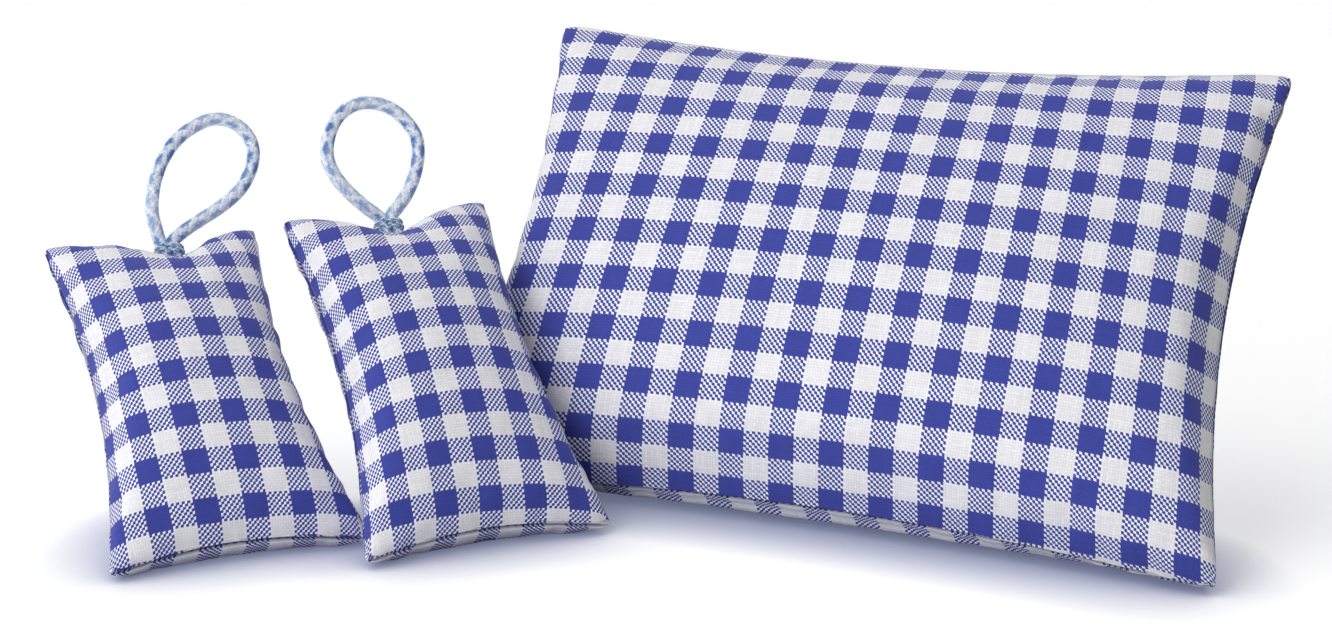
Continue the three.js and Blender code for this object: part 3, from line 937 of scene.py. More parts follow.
@dataclass
class Cushion:
    """One cushion: two panels sewn together, its fill and the stitch that closes it."""

    name: str
    cut: Cut
    standing: Standing
    lay: ClothLay
    back_shift: float = 0.0
    back_start: float = 0.28
    fill: float = 0.85
    growth: float = 0.02
    pressure: float = 6.0
    swell_cap: float = 0.3
    sink_cap: float = 4.0
    gather_depth: float = 0.9
    gather_length: float = 15.0
    gather_reach: float = 5.0
    gather_wander: float = 1.7
    gather_rates: Span = (0.37, 0.43)
    gather_phases: Place = (0.4, 2.9, 1.3)
    cloth_mm: float = 0.45
    draw_share: float = 0.3
    pucker_depth: float = 1.5
    pucker_reach: float = 13.0
    pucker_folds: int = 6
    pucker_turn: float = 0.8
    lump_depth: float = 0.8
    lump_length: float = 24.0
    lump_wander: Span = (1.3, 1.0)
    lump_rates: Span = (0.6, 0.7)
    fold_half: float = 1.25
    fold_inset: float = 0.6
    # Share of the painted seam shade on the fold's edge ring; the groove and allowance rings take all of
    # it.
    fold_shade: float = 0.45
    groove_half: float = 0.4
    groove_depth: float = 2.2
    allowance: float = 6.0
    fill_clear: float = 1.6
    fill_least: float = 0.3
    fill_draw: float = 0.03
    fill_weld: float = 0.2
    stitch_mm: float = 3.6
    stitch_steps: int = 6
    stitch_sway: float = 0.5
    stitch_up: float = 1.2
    stitch_swing: float = 0.3
    thread_mm: float = 0.5
    thread_step: float = 0.35
    thread_lay: float = 1.6
    panels: Dict[Side, np.ndarray] = field(default_factory=dict)

    # Shape

    def grid(self) -> Tuple[np.ndarray, np.ndarray]:
        """The s and t values of the panel's points."""
        across = self.cut.lines(self.cut.columns, True)
        up = self.cut.lines(self.cut.rows, False)
        return np.meshgrid(across, up)

    def rest_on_table(self, world: np.ndarray) -> np.ndarray:
        """Lifts points that would lie below the table up to it."""
        world[..., 2] = np.maximum(world[..., 2], 0.0)
        return world

    def filled_panel(self, side: Side) -> np.ndarray:
        """Points of a panel as the fill shapes it, on the table, in millimetres.

        Args:
            side: Which panel.

        Returns:
            A grid of points.
        """
        s, t = self.grid()
        world = self.standing.to_world(self.cut.crowned(s, t, side))
        if side is Side.BACK:
            share = np.clip((t + 1) / 2 * self.cut.height / self.cut.slump_reach, 0, 1)
            sink = self.cut.slump * np.sqrt(1 - s * s) * np.sin(math.pi * np.sqrt(share))
            world[..., 2] -= sink
        return self.rest_on_table(world)

    def plump_up(self, form: Piece, edge: Sequence[int]) -> None:
        """Runs a closed form as cloth under the pressure of the fill, held along the seam.

        Args:
            form: Both panels sewn together.
            edge: Numbers of the seam's points.
        """
        pinned = form.vertex_groups.new(name="seam")
        pinned.add([int(i) for i in edge], 1.0, "REPLACE")
        activate(form)
        cloth = form.modifiers.new("cloth", "CLOTH")
        for key, value in CLOTH_SETTINGS.items():
            setattr(cloth.settings, key, value)
        cloth.settings.uniform_pressure_force = self.pressure
        cloth.settings.shrink_min = -self.growth
        cloth.settings.vertex_group_mass = pinned.name
        cloth.settings.effector_weights.gravity = 0.0
        cloth.collision_settings.use_collision = False
        cloth.point_cache.frame_start = 1
        cloth.point_cache.frame_end = CLOTH_FRAMES
        for frame in range(1, CLOTH_FRAMES + 1):
            bpy.context.scene.frame_set(frame)
        bpy.ops.object.modifier_apply(modifier=cloth.name)

    def relax(self) -> None:
        """Settles both panels as sewn cloth under the pressure of the fill, and keeps the result."""
        start = {side: self.filled_panel(side) for side in Side}
        self.panels = {side: points.copy() for side, points in start.items()}
        rows, columns = start[Side.FRONT].shape[:2]
        index = np.arange(rows * columns).reshape(rows, columns)
        edge = np.zeros((rows, columns), bool)
        edge[[0, -1], :] = True
        edge[:, [0, -1]] = True
        back_index = index.copy()
        inner = ~edge
        back_index[inner] = rows * columns + np.arange(inner.sum())
        verts = np.vstack([start[Side.FRONT].reshape(-1, 3), start[Side.BACK][inner]]) * CLOTH_SCALE
        faces = sheet_faces(index, False) + sheet_faces(back_index, True)
        form = new_mesh_object(f"{self.name}_relaxing", verts, faces)
        normals = np.zeros(len(verts) * 3)
        form.data.vertex_normals.foreach_get("vector", normals)
        normals = normals.reshape(-1, 3)
        self.plump_up(form, index[edge])
        moved = (read_points(form.data) - verts) / CLOTH_SCALE
        bpy.context.scene.frame_set(1)
        bpy.data.objects.remove(form)
        outward = np.sum(moved * normals, axis=1, keepdims=True)
        along = moved - outward * normals
        length = np.linalg.norm(along, axis=1, keepdims=True)
        along *= np.minimum(1, self.sink_cap / np.maximum(length, TINY))
        LOG.info("%s relaxed: outward %.1f to %.1f mm", self.name, outward.min(), outward.max())
        swollen = self.swell_cap * np.tanh(np.maximum(outward, 0) / self.swell_cap)
        outward = swollen + np.clip(outward, -self.sink_cap, 0)
        places = {Side.FRONT: index, Side.BACK: back_index}
        for side, numbers in places.items():
            outward[numbers[inner], 0] -= self.drawn_in(side)[inner]
        settled = verts / CLOTH_SCALE + along + outward * normals
        for side, numbers in places.items():
            self.panels[side] = self.rest_on_table(settled[numbers])

    def drawn_in(self, side: Side) -> np.ndarray:
        """How far the cloth lies in: folds by the seam, puckers round a cord, hollows between the buds.

        Args:
            side: Which panel.

        Returns:
            A grid of depths in millimetres, each within a share of the cloth's distance from the seam.
        """
        s, t = self.grid()
        flat = self.cut.outline(s, t)
        half = self.cut.bottom / 2

        def folds(line: np.ndarray, edge: np.ndarray, seed: float) -> np.ndarray:
            """Folds along one edge, counted by the place along it and the distance from it."""
            turn = 2 * math.pi * line / self.gather_length
            wander = self.gather_wander * np.sin(self.gather_rates[0] * turn + seed)
            uneven = np.sin(turn + seed + wander) * np.sin(self.gather_rates[1] * turn + 2 * seed)
            return np.abs(uneven) * np.exp(-edge / self.gather_reach)

        right, left, top = self.gather_phases
        sides = folds(flat[..., 2], (1 - s) * half, right) + folds(flat[..., 2], (1 + s) * half, left)
        ends = folds(flat[..., 0], (1 - t) / 2 * self.cut.height, top)
        x, z = (2 * math.pi * flat[..., axis] / self.lump_length for axis in (0, 2))
        aside = self.lump_wander[0] * np.sin(self.lump_rates[0] * z)
        along = self.lump_wander[1] * np.sin(self.lump_rates[1] * x)
        lumps = np.sin(x + aside) * np.sin(z + along)
        drawn = self.gather_depth * (sides + ends) + self.lump_depth * (0.5 + 0.5 * lumps)
        if self.cut.dip:
            away = flat - self.cut.cord_exit()
            angle = np.arctan2(away[..., 2], away[..., 0])
            fade = np.exp(-np.linalg.norm(away, axis=-1) / self.pucker_reach)
            turns = 2 * self.pucker_folds * angle + self.pucker_turn
            drawn = drawn + self.pucker_depth * fade * (1 + np.cos(turns))
        room = np.abs(self.cut.crowned(s, t, side)[..., 1])
        return np.minimum(drawn, self.draw_share * room)

    def edge_point(self, s: np.ndarray, t: np.ndarray, inset: float, half: float, side: Side) -> np.ndarray:
        """Points of the folded edge, moved in from the seam's edge and off the seam's plane.

        Args:
            s: Shares across.
            t: Shares up.
            inset: Distance in from the edge.
            half: Distance from the seam's plane.
            side: Which panel.

        Returns:
            Points on the table, in millimetres.
        """
        points = self.cut.outline(s, t)
        points[..., 0] -= inset * s
        points[..., 2] -= inset * t
        points[..., 1] = side.value * half
        return self.standing.to_world(points)

    def cloth_shares(self, side: Side) -> Tuple[np.ndarray, np.ndarray]:
        """Shares of the way from the panel's middle to its side and its top, along the cloth.

        On the back the way up is counted from -1 at the bottom seam.

        Args:
            side: Which panel.

        Returns:
            Two grids.
        """
        s, t = self.grid()
        points = self.filled_panel(side)

        def from_middle(axis: int, lines: np.ndarray) -> np.ndarray:
            """Lengths along one family of grid lines, from the panel's middle line."""
            steps = np.linalg.norm(np.diff(points, axis=axis), axis=-1)
            pad = np.zeros_like(np.take(steps, [0], axis))
            total = np.concatenate([pad, np.cumsum(steps, axis)], axis)
            middle = np.apply_along_axis(lambda row: np.interp(0.0, lines, row), axis, total)
            return total - np.expand_dims(middle, axis)

        across, up = from_middle(1, s[0]), from_middle(0, t[:, 0])
        a, b = across / np.interp(0.0, t[:, 0], across[:, -1]), up / np.interp(0.0, s[0], up[-1])
        return (a, b) if side is Side.FRONT else (a, b - b[:1] - 1)

    # Pieces

    def build_panel(self, side: Side) -> Piece:
        """Models one panel: crowned cloth whose edge folds in at the seam, with shade painted into its
        colour along the seam.

        Args:
            side: Which panel.

        Returns:
            The panel.
        """
        rows, columns = self.cut.rows, self.cut.columns
        s, t = self.grid()
        deselect()
        bpy.ops.mesh.primitive_grid_add(x_subdivisions=columns, y_subdivisions=rows, size=2.0)
        panel = bpy.context.object
        panel.name = f"{self.name}_{side.word}_cloth"
        panel.data.name = panel.name
        flat = read_points(panel.data)
        i = np.rint((flat[:, 0] + 1) / 2 * columns).astype(int)
        j = np.rint((flat[:, 1] + 1) / 2 * rows).astype(int)
        write_value(panel, "column", i)
        write_value(panel, "row", j)
        extrude = bpy.ops.mesh.extrude_region_move
        edit_mesh(panel, bpy.ops.mesh.region_to_loop, extrude, extrude)
        count = len(panel.data.vertices)
        i, j = (np.zeros(count, np.float32) for _ in range(2))
        panel.data.attributes["column"].data.foreach_get("value", i)
        panel.data.attributes["row"].data.foreach_get("value", j)
        i, j = np.rint(i).astype(int), np.rint(j).astype(int)
        points = self.panels[side][j, i]
        a, b = self.cloth_shares(side)
        lay = self.lay if side is Side.FRONT else self.lay.behind(self.back_shift, self.back_start)
        cloth = lay.coordinates(a[j, i], b[j, i])
        body = (rows + 1) * (columns + 1)
        loop = (count - body) // 2
        on_edge = (i == 0) | (i == columns) | (j == 0) | (j == rows)
        rings = (
            (np.where(on_edge[:body])[0], self.fold_inset, self.fold_half),
            (np.arange(body, body + loop), self.groove_depth, self.groove_half),
            (np.arange(body + loop, count), self.allowance, self.groove_half),
        )
        # Painted shade: the seam attribute is 1 on the groove and allowance rings and fold_shade on the
        # fold ring.
        sewn = np.zeros(count)
        for (numbers, inset, half), shade in zip(rings, (self.fold_shade, 1.0, 1.0)):
            points[numbers] = self.edge_point(s[j, i][numbers], t[j, i][numbers], inset, half, side)
            sewn[numbers] = shade
        write_points(panel.data, points * MM)
        write_value(panel, "seam", sewn)
        for name in ("column", "row"):
            panel.data.attributes.remove(panel.data.attributes[name])
        while panel.data.uv_layers:
            panel.data.uv_layers.remove(panel.data.uv_layers[0])
        write_uv(panel, "cloth", cloth)
        if side is Side.BACK:
            edit_mesh(panel, bpy.ops.mesh.flip_normals)
        apply_modifier(panel, "SUBSURF", levels=1, render_levels=1)
        apply_modifier(panel, "SOLIDIFY", thickness=self.cloth_mm * MM, offset=-1.0)
        smooth_shade(panel)
        return panel

    def build_fill(self) -> Piece:
        """Models the fill: the inside of both panels, a little smaller.

        Returns:
            The fill.
        """
        rows, columns = self.panels[Side.FRONT].shape[:2]
        index = np.arange(rows * columns).reshape(rows, columns)
        middle = (self.panels[Side.FRONT] + self.panels[Side.BACK]) / 2
        centre = middle[rows // 2, columns // 2]
        verts, faces = [], []
        for side in Side:
            off = self.panels[side] - middle
            depth = np.linalg.norm(off, axis=-1, keepdims=True)
            kept = np.maximum(1 - self.fill_clear / np.maximum(depth, TINY), self.fill_least)
            points = middle + off * kept
            faces += sheet_faces(index + len(verts) * rows * columns, side is Side.BACK)
            verts.append((points + (centre - points) * self.fill_draw).reshape(-1, 3))
        fill = new_mesh_object(f"{self.name}_fill", np.vstack(verts) * MM, faces)
        edit_mesh(fill, lambda: bpy.ops.mesh.remove_doubles(threshold=self.fill_weld * MM))
        smooth_shade(fill)
        return fill

    def build_closing_stitch(self) -> Piece:
        """Models the hand-sewn thread that closes the bottom seam.

        Returns:
            The thread.
        """
        stitches = int(round(self.cut.opening / self.stitch_mm))
        turn = np.arange(stitches * self.stitch_steps + 1) / self.stitch_steps
        s = (2 * turn / stitches - 1) * self.cut.opening / self.cut.bottom
        line = self.cut.outline(s, -np.ones_like(s))
        line[:, 1] = self.stitch_sway * np.sin(2 * math.pi * turn)
        line[:, 2] += self.stitch_up - self.stitch_swing * np.cos(2 * math.pi * turn)
        path = smooth_path(self.standing.to_world(line), self.thread_step)
        return build_thread(f"{self.name}_closing_thread", path, self.thread_mm, self.thread_lay)

    def build(self) -> Dict[str, Piece]:
        """Models every piece of the cushion.

        Returns:
            Pieces by what they are.
        """
        self.relax()
        return {
            "front_panel": self.build_panel(Side.FRONT),
            "back_panel": self.build_panel(Side.BACK),
            "lavender_fill": self.build_fill(),
            "closing_stitch": self.build_closing_stitch(),
        }

    def dress(self, pieces: Dict[str, Piece], finishes: "Finishes") -> None:
        """Gives every piece its material and body.

        Args:
            pieces: Pieces by what they are.
            finishes: The set's materials.
        """
        looks = {
            "front_panel": (finishes.gingham, "gingham"),
            "back_panel": (finishes.gingham, "gingham"),
            "lavender_fill": (finishes.buds, "lavender"),
            "closing_stitch": (finishes.seam, "thread"),
        }
        for key, piece in pieces.items():
            material, slot = looks[key]
            dress_piece(piece, material, slot, f"{self.name}_{key}")
            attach(piece, "cushions")


def build_thread(name: str, path: np.ndarray, diameter: float, lay: float) -> Piece:
    """Models a sewing thread of two plies twisted round each other.

    Args:
        name: Piece name.
        path: Points along the thread, in millimetres.
        diameter: Thickness over both plies.
        lay: Length of one twist.

    Returns:
        The thread.
    """
    side, up = path_frames(path, PLY_START)
    along = lengths_along(path)
    half = PLY_HALF * diameter
    verts, faces = [], []
    for ply in range(2):
        turn = 2 * math.pi * along / lay + math.pi * ply
        centre = path + diameter / 4 * (np.cos(turn)[:, None] * side + np.sin(turn)[:, None] * up)
        faces += tube_faces(len(path), PLY_SIDES, len(verts) * len(path) * PLY_SIDES)
        verts.append(tube_points(centre, half * side, half * up, PLY_SIDES))
    thread = new_mesh_object(name, np.vstack(verts) * MM, faces)
    write_value(thread, "ply", np.repeat([0.0, 1.0], len(path) * PLY_SIDES))
    smooth_shade(thread)
    return thread


@dataclass
class HangingLoop:
    """The braided cord of a sachet and the thread that tacks both its ends to the seam."""

    name: str
    cushion: Cushion
    route: Sequence[Tuple[float, float]]
    diameter: float = 5.0
    press: float = 0.4
    leg_gap: float = 0.4
    tip: float = 20.0
    sewn_heights: Tuple[float, ...] = (-10.0, -4.0, 1.0, 5.0)
    tack_clear: float = 1.2
    tack_height: float = 4.3
    pivot_above: float = 9.0
    bend_from: float = -2.0
    bend_to: float = 5.0
    route_step: float = 0.42
    record_every: int = 3
    braid_start: Place = (0.0, 1.0, 0.2)
    lead: float = 22.0
    strands: int = 8
    strand_sides: int = 8
    bulk: float = 0.42
    strand_wide: float = 0.95
    strand_high: float = 0.38
    strand_sway: float = 0.10
    lozenge_step: float = 9.4
    lozenge_half: float = 3.9
    lozenge_width: float = 1.75
    lozenge_fray: float = 1.3
    fray_phase: float = 2.4
    lozenge_edge: float = 1.25
    lozenge_fade: float = 1.6
    lozenge_tone: float = 0.8
    lozenge_change: float = 0.2
    lozenge_phases: Span = (12.9, 7.3)
    yarn_apart: float = 37.0
    tack_thread: float = 1.2
    tack_step: float = 0.3
    tack_steps: int = 28
    tack_swell: float = 0.3
    swell_rate: float = 9.1
    tack_sway: float = 0.8
    sway_rates: Span = (2.3, 1.9)
    sway_start: float = 0.6
    tack_turns: int = 3
    tack_lay: float = 3.4
    tack_stitches: Tuple[Place, ...] = (
        (2.0, 3.1, 0.6), (0.6, 2.4, -1.2), (-0.8, -1.2, -1.4), (-1.8, -3.1, 0.9), (-3.4, -3.2, 3.4),
        (-0.4, -3.4, 2.0), (2.6, -3.3, 1.0), (4.2, -3.0, 3.6), (1.4, -3.5, 3.9), (-2.2, -3.4, 1.6),
    )

    def own_route(self) -> np.ndarray:
        """The cord's line in the sachet's own plane, from one sewn end to the other.

        Returns:
            Rows of points in millimetres.
        """
        at = self.cushion.cut.dip_at
        edge = self.edge_height()
        pivot = edge + self.pivot_above
        sewn = (self.diameter - self.press) / 2
        free = (self.diameter + self.leg_gap) / 2
        tip = math.radians(self.tip)

        def leg(sign: int) -> List[Place]:
            """One sewn end, from inside the bag up to the bend."""
            rise = [(at + sign * sewn, 0.0, edge + z) for z in self.sewn_heights]
            return rise + [(at + sign * free, 0.0, pivot)]

        loop = [(at + x, -z * math.sin(tip), pivot + z * math.cos(tip)) for x, z in self.route]
        points = leg(-1) + loop + leg(1)[::-1]
        return smooth_path(points, self.route_step)

    def edge_height(self) -> float:
        """Height of the top seam's edge where the cord leaves it."""
        return float(self.cushion.cut.cord_exit()[2])

    def place(self, x: float, y: float, z: float) -> np.ndarray:
        """A point of the sachet's own plane on the table, in metres."""
        return self.cushion.standing.to_world(np.array([x, y, z])) * MM

    def yarn_tone(self, turn: np.ndarray, along: np.ndarray, base: float, strand: int) -> np.ndarray:
        """Tone of the yarn: long frayed blue lozenges in four staggered rows on a pale ground.

        Args:
            turn: Angle round the cord of each point.
            along: Length along the cord of each point.
            base: Tone of the strand between the lozenges.
            strand: The strand's number, which sets how far its lozenges are shifted.

        Returns:
            Tones from 0, white, to 1, blue.
        """
        row = np.rint(turn / (math.pi / 2))
        aside = (turn - row * math.pi / 2) * self.diameter / 2
        frayed = along + self.lozenge_fray * math.sin(self.fray_phase * strand)
        place = (frayed + self.lozenge_step / 2 * np.mod(row, 2)) / self.lozenge_step
        number = np.rint(place)
        ahead = (place - number) * self.lozenge_step
        inside = self.lozenge_edge - np.abs(ahead) / self.lozenge_half - np.abs(aside) / self.lozenge_width
        by_row, by_number = self.lozenge_phases
        change = np.sin(by_row * np.mod(row, 4) + by_number * number)
        tone = self.lozenge_tone + self.lozenge_change * change
        return base + (tone - base) * np.clip(inside * self.lozenge_fade, 0, 1)

    def build_cord(self) -> Tuple[Piece, np.ndarray]:
        """Models the braid: strands that run both ways round the cord and cross over and under.

        Returns:
            The cord and the line it follows, in metres.
        """
        path = self.cushion.standing.to_world(self.own_route())
        side, up = path_frames(path, self.braid_start)
        along = lengths_along(path)
        radius = self.diameter / 2 + self.bulk - self.strand_high - self.strand_sway
        around = 2 * math.pi * np.arange(self.strand_sides) / self.strand_sides
        grounds = (Yarn.WHITE.value, Yarn.PALE.value)
        verts, faces, yarn, uv = [], [], [], []
        count = len(path)
        for direction in (1, -1):
            for k in range(self.strands):
                turn = direction * 2 * math.pi * along / self.lead + 2 * math.pi * k / self.strands
                over = direction * self.strand_sway * np.cos(2 * math.pi * self.strands * along / self.lead)
                outward = np.cos(turn)[:, None] * side + np.sin(turn)[:, None] * up
                round_it = -np.sin(turn)[:, None] * side + np.cos(turn)[:, None] * up
                centre = path + (radius + over)[:, None] * outward
                wide, high = self.strand_wide * round_it, self.strand_high * outward
                faces += tube_faces(count, self.strand_sides, len(verts) * count * self.strand_sides)
                verts.append(tube_points(centre, wide, high, self.strand_sides))
                aside = np.tile(np.cos(around) * self.strand_wide, count)
                rows = np.repeat(along, self.strand_sides)
                around_it = np.repeat(turn, self.strand_sides) + aside / radius
                yarn.append(self.yarn_tone(around_it, rows, grounds[k % 2], len(yarn)))
                uv.append(np.stack([rows + self.yarn_apart * len(uv), aside], 1))
        cord = new_mesh_object(f"{self.name}_cord", np.vstack(verts) * MM, faces)
        write_value(cord, "yarn", np.concatenate(yarn))
        write_uv(cord, "yarn", np.vstack(uv))
        smooth_shade(cord)
        return cord, path * MM

    def build_tack(self) -> Piece:
        """Models the thread wound round both cord ends, with its last stitches into the seam.

        Returns:
            The thread.
        """
        at, edge = self.cushion.cut.dip_at, self.edge_height()
        gap = (self.diameter - self.press) / 2
        flat = 2 * gap
        wound = self.diameter / 2 + self.bulk + self.tack_thread / 2
        points = []
        for i in range(self.tack_turns * self.tack_steps + 1):
            share = i / self.tack_steps
            radius = wound + self.tack_swell * math.sin(self.swell_rate * share)
            around = 2 * math.pi * radius + 2 * flat
            rest = (share % 1.0) * around
            sign = 1 if rest < around / 2 else -1
            rest %= around / 2
            straight = min(rest, flat)
            turn = (rest - straight) / radius
            x = -gap + straight + radius * math.sin(turn)
            y = -radius * math.cos(turn)
            slow, quick = self.sway_rates
            sway = math.sin(slow * share + self.sway_start) * math.sin((2 * math.pi + quick) * share)
            height = self.tack_clear + self.tack_height * share / self.tack_turns + self.tack_sway * sway
            points.append((at + sign * x, sign * y, edge + height))
        for x, y, z in self.tack_stitches:
            points.append((at + x, y, edge + z))
        path = smooth_path(self.cushion.standing.to_world(np.array(points)), self.tack_step)
        return build_thread(f"{self.name}_tack_thread", path, self.tack_thread, self.tack_lay)

    def dress(self, cord: Piece, path: np.ndarray, tack: Piece, finishes: "Finishes") -> None:
        """Gives cord and tack their materials and bodies.

        Args:
            cord: The braid.
            path: The line it follows, in metres.
            tack: The wound thread.
            finishes: The set's materials.
        """
        at, pivot = self.cushion.cut.dip_at, self.edge_height() + self.pivot_above
        tip = math.radians(self.tip)

        def by_pivot(up: float) -> Tuple[float, ...]:
            """A point above the bend, along the loop at rest."""
            return tuple(self.place(at, -up * math.sin(tip), pivot + up * math.cos(tip)))

        dress_piece(cord, finishes.cord, "cord", f"{self.name}_hanging_loop", f"{self.name}_cord_ends")
        by_pivot(self.bend_from)
        by_pivot(self.bend_to)
        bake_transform(cord)
        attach(cord, "cushions")
        dress_piece(tack, finishes.tack, "tack_thread", f"{self.name}_loop_tack")
        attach(tack, "cushions")
        length = float(lengths_along(path)[-1])
        tuple(path[0])
        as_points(path[:: self.record_every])
        LOG.info("%s cord is %.0f mm long", self.name, length / MM)


def dress_piece(piece: Piece, material: Material, slot: str, *nodes: str) -> None:
    """Gives a piece its material and hides the solids that it stands for.

    Args:
        piece: The piece.
        material: Its material.
        slot: The record's material slot; not used.
        nodes: Solids that it replaces.
    """
    piece.data.materials.clear()
    piece.data.materials.append(material)
    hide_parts(*nodes)
    LOG.info("%s: %d faces", piece.name, len(piece.data.polygons))


class Finishes:
    """The set's materials, each made once."""

    def __init__(self) -> None:
        """Builds every material."""
        self.gingham = GinghamFinish().material()
        self.cord = CordFinish().material()
        self.tack = ThreadFinish("tack_cotton", (214, 228, 240), (118, 154, 194)).material()
        self.seam = ThreadFinish("seam_cotton", (34, 38, 104), (28, 32, 90)).material()
        self.buds = BudFinish().material()


@dataclass
class Studio:
    """Camera, soft light and a white table."""

    eye_mm: Place = (3.32, -1132.9, 367.6)
    look_down: float = 14.2542
    key_from: Place = (-0.70, -0.10, 0.71)
    key_strength: float = 1.5
    top_from: Place = (0.0, -0.02, 1.0)
    top_strength: float = 0.35
    back_from: Place = (0.25, 0.85, 0.5)
    back_strength: float = 0.9
    lamp_spread: float = 60.0
    panel_at: Place = (-0.40, -0.78, 0.45)
    panel_side: float = 0.5
    panel_watts: float = 3.1
    sky_strength: float = 0.16
    near_clip: float = 0.05
    table_side: float = 12.0
    table_seen: float = 1.3
    table_white: float = 0.92
    table_glow: float = 0.45
    # Painted contact shade of the table: its colour, how far it reaches, how steeply it deepens and its
    # samples.
    table_shade: Tuple[float, float, float, float] = (0.27, 0.30, 0.46, 1.0)
    shade_reach: float = 0.04
    shade_power: float = 2.0
    shade_samples: int = 8

    def build_camera(self) -> None:
        """Sets the camera at the photograph's viewing angle."""
        data = bpy.data.cameras.new("camera")
        data.sensor_fit = "HORIZONTAL"
        data.sensor_width = SENSOR_MM
        data.lens = FOCAL_PIXELS / IMAGE_WIDTH * SENSOR_MM
        data.clip_start = self.near_clip
        camera = bpy.data.objects.new("camera", data)
        camera.location = [c * MM for c in self.eye_mm]
        camera.rotation_euler = (math.radians(90 - self.look_down), 0.0, 0.0)
        bpy.context.scene.collection.objects.link(camera)
        bpy.context.scene.camera = camera

    def add_light(self, name: str, kind: str, energy: float, comes_from: Place, **sizes: float) -> Piece:
        """Adds a light that shines at the set.

        Args:
            name: Light name.
            kind: Light type, such as SUN.
            energy: Its strength.
            comes_from: Direction that its light comes from.
            sizes: How wide it is.

        Returns:
            The light.
        """
        data = bpy.data.lights.new(name, kind)
        data.energy = energy
        for key, value in sizes.items():
            setattr(data, key, value)
        light = bpy.data.objects.new(name, data)
        light.rotation_euler = (-Vector(comes_from)).to_track_quat("-Z", "Y").to_euler()
        bpy.context.scene.collection.objects.link(light)
        return light

    def build_light(self) -> None:
        """Lights the set with wide lamps, a near panel at the front left and a white sky."""
        spread = math.radians(self.lamp_spread)
        self.add_light("key", "SUN", self.key_strength, self.key_from, angle=spread)
        self.add_light("top", "SUN", self.top_strength, self.top_from, angle=spread)
        self.add_light("back", "SUN", self.back_strength, self.back_from, angle=spread)
        panel = self.add_light("light_panel", "AREA", self.panel_watts, self.panel_at, size=self.panel_side)
        panel.location = self.panel_at
        panel.visible_camera = False
        world = bpy.data.worlds.new("studio")
        world.use_nodes = True
        bpy.context.scene.world = world
        n = Nodes(world.node_tree)
        background = world.node_tree.nodes["Background"]
        background.inputs["Color"].default_value = (1.0, 1.0, 1.0, 1.0)
        n.link(n.mix_value(self.seen_ray(n), self.sky_strength, 1.0), background.inputs["Strength"])

    def seen_ray(self, n: Nodes) -> Socket:
        """1 for a ray by which the background is seen, straight or in a shine, and 0 for light."""
        path = n.add("ShaderNodeLightPath")
        shine = n.math("MAXIMUM", path.outputs["Is Glossy Ray"], path.outputs["Is Transmission Ray"])
        return n.math("MAXIMUM", path.outputs["Is Camera Ray"], shine)

    def build_table(self) -> None:
        """Lays a white table that keeps the shadow, with contact shade painted into its colour near the
        set, a little brighter where the camera sees it.
        """
        deselect()
        bpy.ops.mesh.primitive_plane_add(size=self.table_side)
        table = bpy.context.object
        table.name = "table"
        material, n, shader = start_material("white_table")
        # Painted shade: an occlusion node darkens the table's colour towards table_shade near the set.
        near = n.add("ShaderNodeAmbientOcclusion", samples=self.shade_samples)
        near.inputs["Distance"].default_value = self.shade_reach
        seen = self.seen_ray(n)
        level = n.mix_value(seen, self.table_white, self.table_seen)
        open_sky = n.math("POWER", near.outputs["AO"], self.shade_power)
        shade = n.mix_colour(open_sky, self.table_shade, (1.0, 1.0, 1.0, 1.0))
        surface = n.add("ShaderNodeBsdfDiffuse")
        n.link(n.shaded(shade, level), surface.inputs["Color"])
        glow = n.add("ShaderNodeEmission")
        n.link(shade, glow.inputs["Color"])
        both = n.add("ShaderNodeMixShader")
        n.link(n.math("MULTIPLY", seen, self.table_glow), both.inputs[0])
        n.link(surface.outputs[0], both.inputs[1])
        n.link(glow.outputs[0], both.inputs[2])
        n.link(both.outputs[0], material.node_tree.nodes["Material Output"].inputs["Surface"])
        material.node_tree.nodes.remove(shader)
        table.data.materials.append(material)

    def build(self) -> None:
        """Builds light and table."""
        scene = bpy.context.scene
        scene.view_settings.view_transform = "Standard"
        self.build_light()
        self.build_table()


PILLOW_CUT = Cut(
    top=333, bottom=348, height=219, crown=38, round_across=0.3, round_top=0.61, round_foot=0.52,
    side_draw=13.3, top_draw=9.4, foot_draw=10.3, heel=9, slump=26, slump_reach=112, opening=110,
    columns=84, rows=64, corner_ease=2.8, corner_power=24,
)
SACHET_SIZES = dict(
    top=95, bottom=109, height=165, crown=28, round_across=0.32, round_top=0.56, round_foot=0.6,
    side_draw=10, top_draw=3.4, foot_draw=7.6, heel=15, slump=11, slump_reach=62, opening=60,
    columns=44, rows=64, dip=9.5, dip_half=17, corner_ease=2.5, corner_power=12,
)
LEFT_ROUTE = (
    (-3.4, 7.1), (-3.7, 14.6), (-1, 25.7), (4.1, 36), (11.2, 44.7), (19.9, 50.7), (29.6, 54),
    (38.2, 51.8), (43.9, 45.2), (44.9, 37.1), (41.8, 28.6), (35.7, 20.6), (26.5, 14), (16.3, 8.7),
    (7.7, 4),
)
RIGHT_ROUTE = (
    (-7.9, 5), (-14.4, 12.5), (-18.9, 20), (-20.8, 28), (-18.8, 36.5), (-13.8, 44.5), (-6.3, 49.5),
    (2.2, 50.5), (10.7, 47.5), (16.7, 41.5), (20.2, 34), (19.7, 26), (16.7, 17.5), (11.8, 9.5),
    (6.7, 4),
)


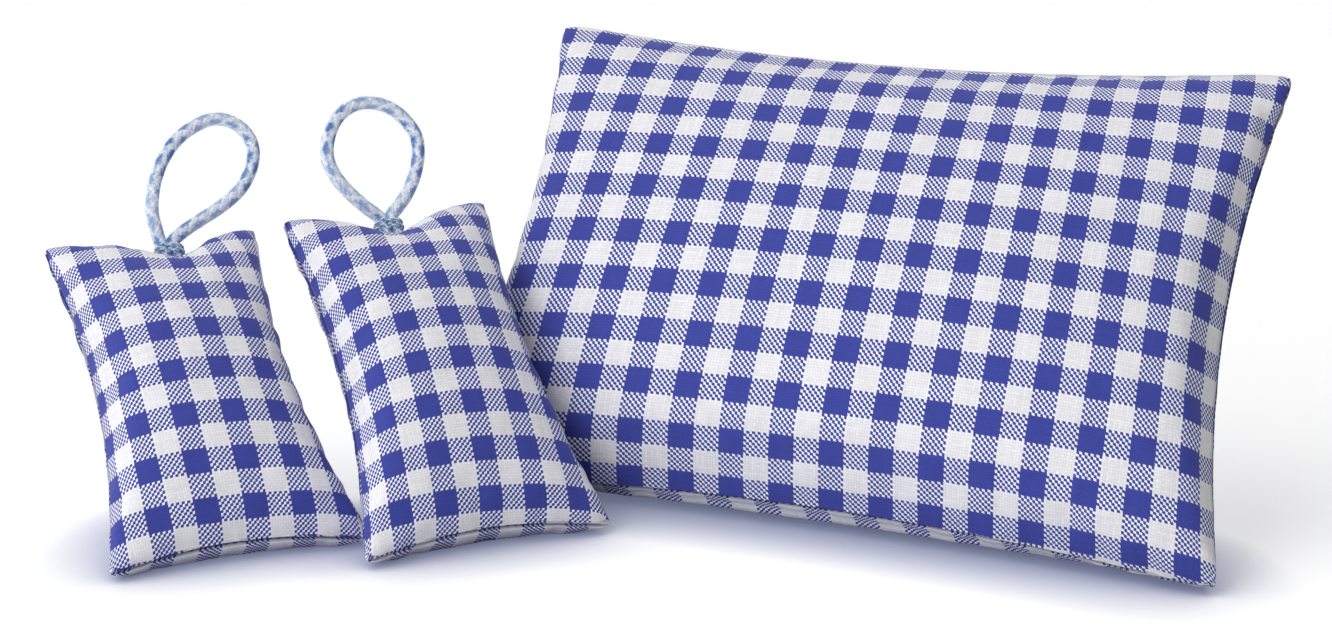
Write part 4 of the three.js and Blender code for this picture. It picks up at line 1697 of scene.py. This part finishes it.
def make_cushions() -> Dict[str, Cushion]:
    """Describes the three cushions as they stand.

    Returns:
        Cushions by name.
    """
    pillow = Cushion(
        "pillow",
        PILLOW_CUT,
        Standing(56.407, -53.961, -24.9, 34, 2.0),
        ClothLay(
            StripeRun(-1.86, 8.31, -0.07, 0.36, 0.63, 0.20, -0.27, 0.02, 0.19),
            StripeRun(1.00, 5.11, -0.01, 0.09, 0.18, 0.01, 0.14, 0.15, 0.06),
        ),
        back_shift=0.36,
    )
    right = Cushion(
        "right",
        Cut(dip_at=0.0, **SACHET_SIZES),
        Standing(-66.120, -74.142, 25.5, 46, 2.6),
        ClothLay(
            StripeRun(0.90, 3.04, -0.08, 0.16, 0.16, -0.08, 0.02, 0.13, 0.12),
            StripeRun(1.59, 4.08, 0.15, -0.11, 0.12, 0.08, -0.05, 0.13, -0.11),
            True,
        ),
    )
    left = Cushion(
        "left",
        Cut(dip_at=6.5, **SACHET_SIZES),
        Standing(-162.817, -89.739, 24.5, 51, 2.6),
        ClothLay(
            StripeRun(0.75, 2.89, 0.09, 0.09, 0.10, -0.08, 0.09, 0.15, 0.03),
            StripeRun(1.48, 3.92, 0.15, 0.01, -0.07, -0.17, -0.06, -0.06, -0.10),
            True,
        ),
    )
    return {c.name: c for c in (pillow, right, left)}


def dress_solids(frame: Dict[str, object], finishes: Finishes) -> None:
    """Gives the seam threads, which stay as solids, their material.

    Args:
        frame: What the loaded frame holds.
        finishes: The set's materials.
    """
    for name, node in frame["nodes"].items():
        if name.endswith("seam_thread"):
            node.data.materials.clear()
            node.data.materials.append(finishes.seam)
            LOG.info("%s dressed", name)


def main() -> None:
    """Builds the studio and every piece of the set."""
    logging.basicConfig(level=logging.INFO, format="%(name)s: %(message)s")
    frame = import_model()
    studio = Studio()
    studio.build_camera()
    finishes = Finishes()
    cushions = make_cushions()
    for name, route in {"right": RIGHT_ROUTE, "left": LEFT_ROUTE}.items():
        loop = HangingLoop(name, cushions[name], route)
        cord, path = loop.build_cord()
        loop.dress(cord, path, loop.build_tack(), finishes)
    for cushion in cushions.values():
        cushion.dress(cushion.build(), finishes)
    dress_solids(frame, finishes)
    studio.build()


if __name__ == "__main__":
    main()
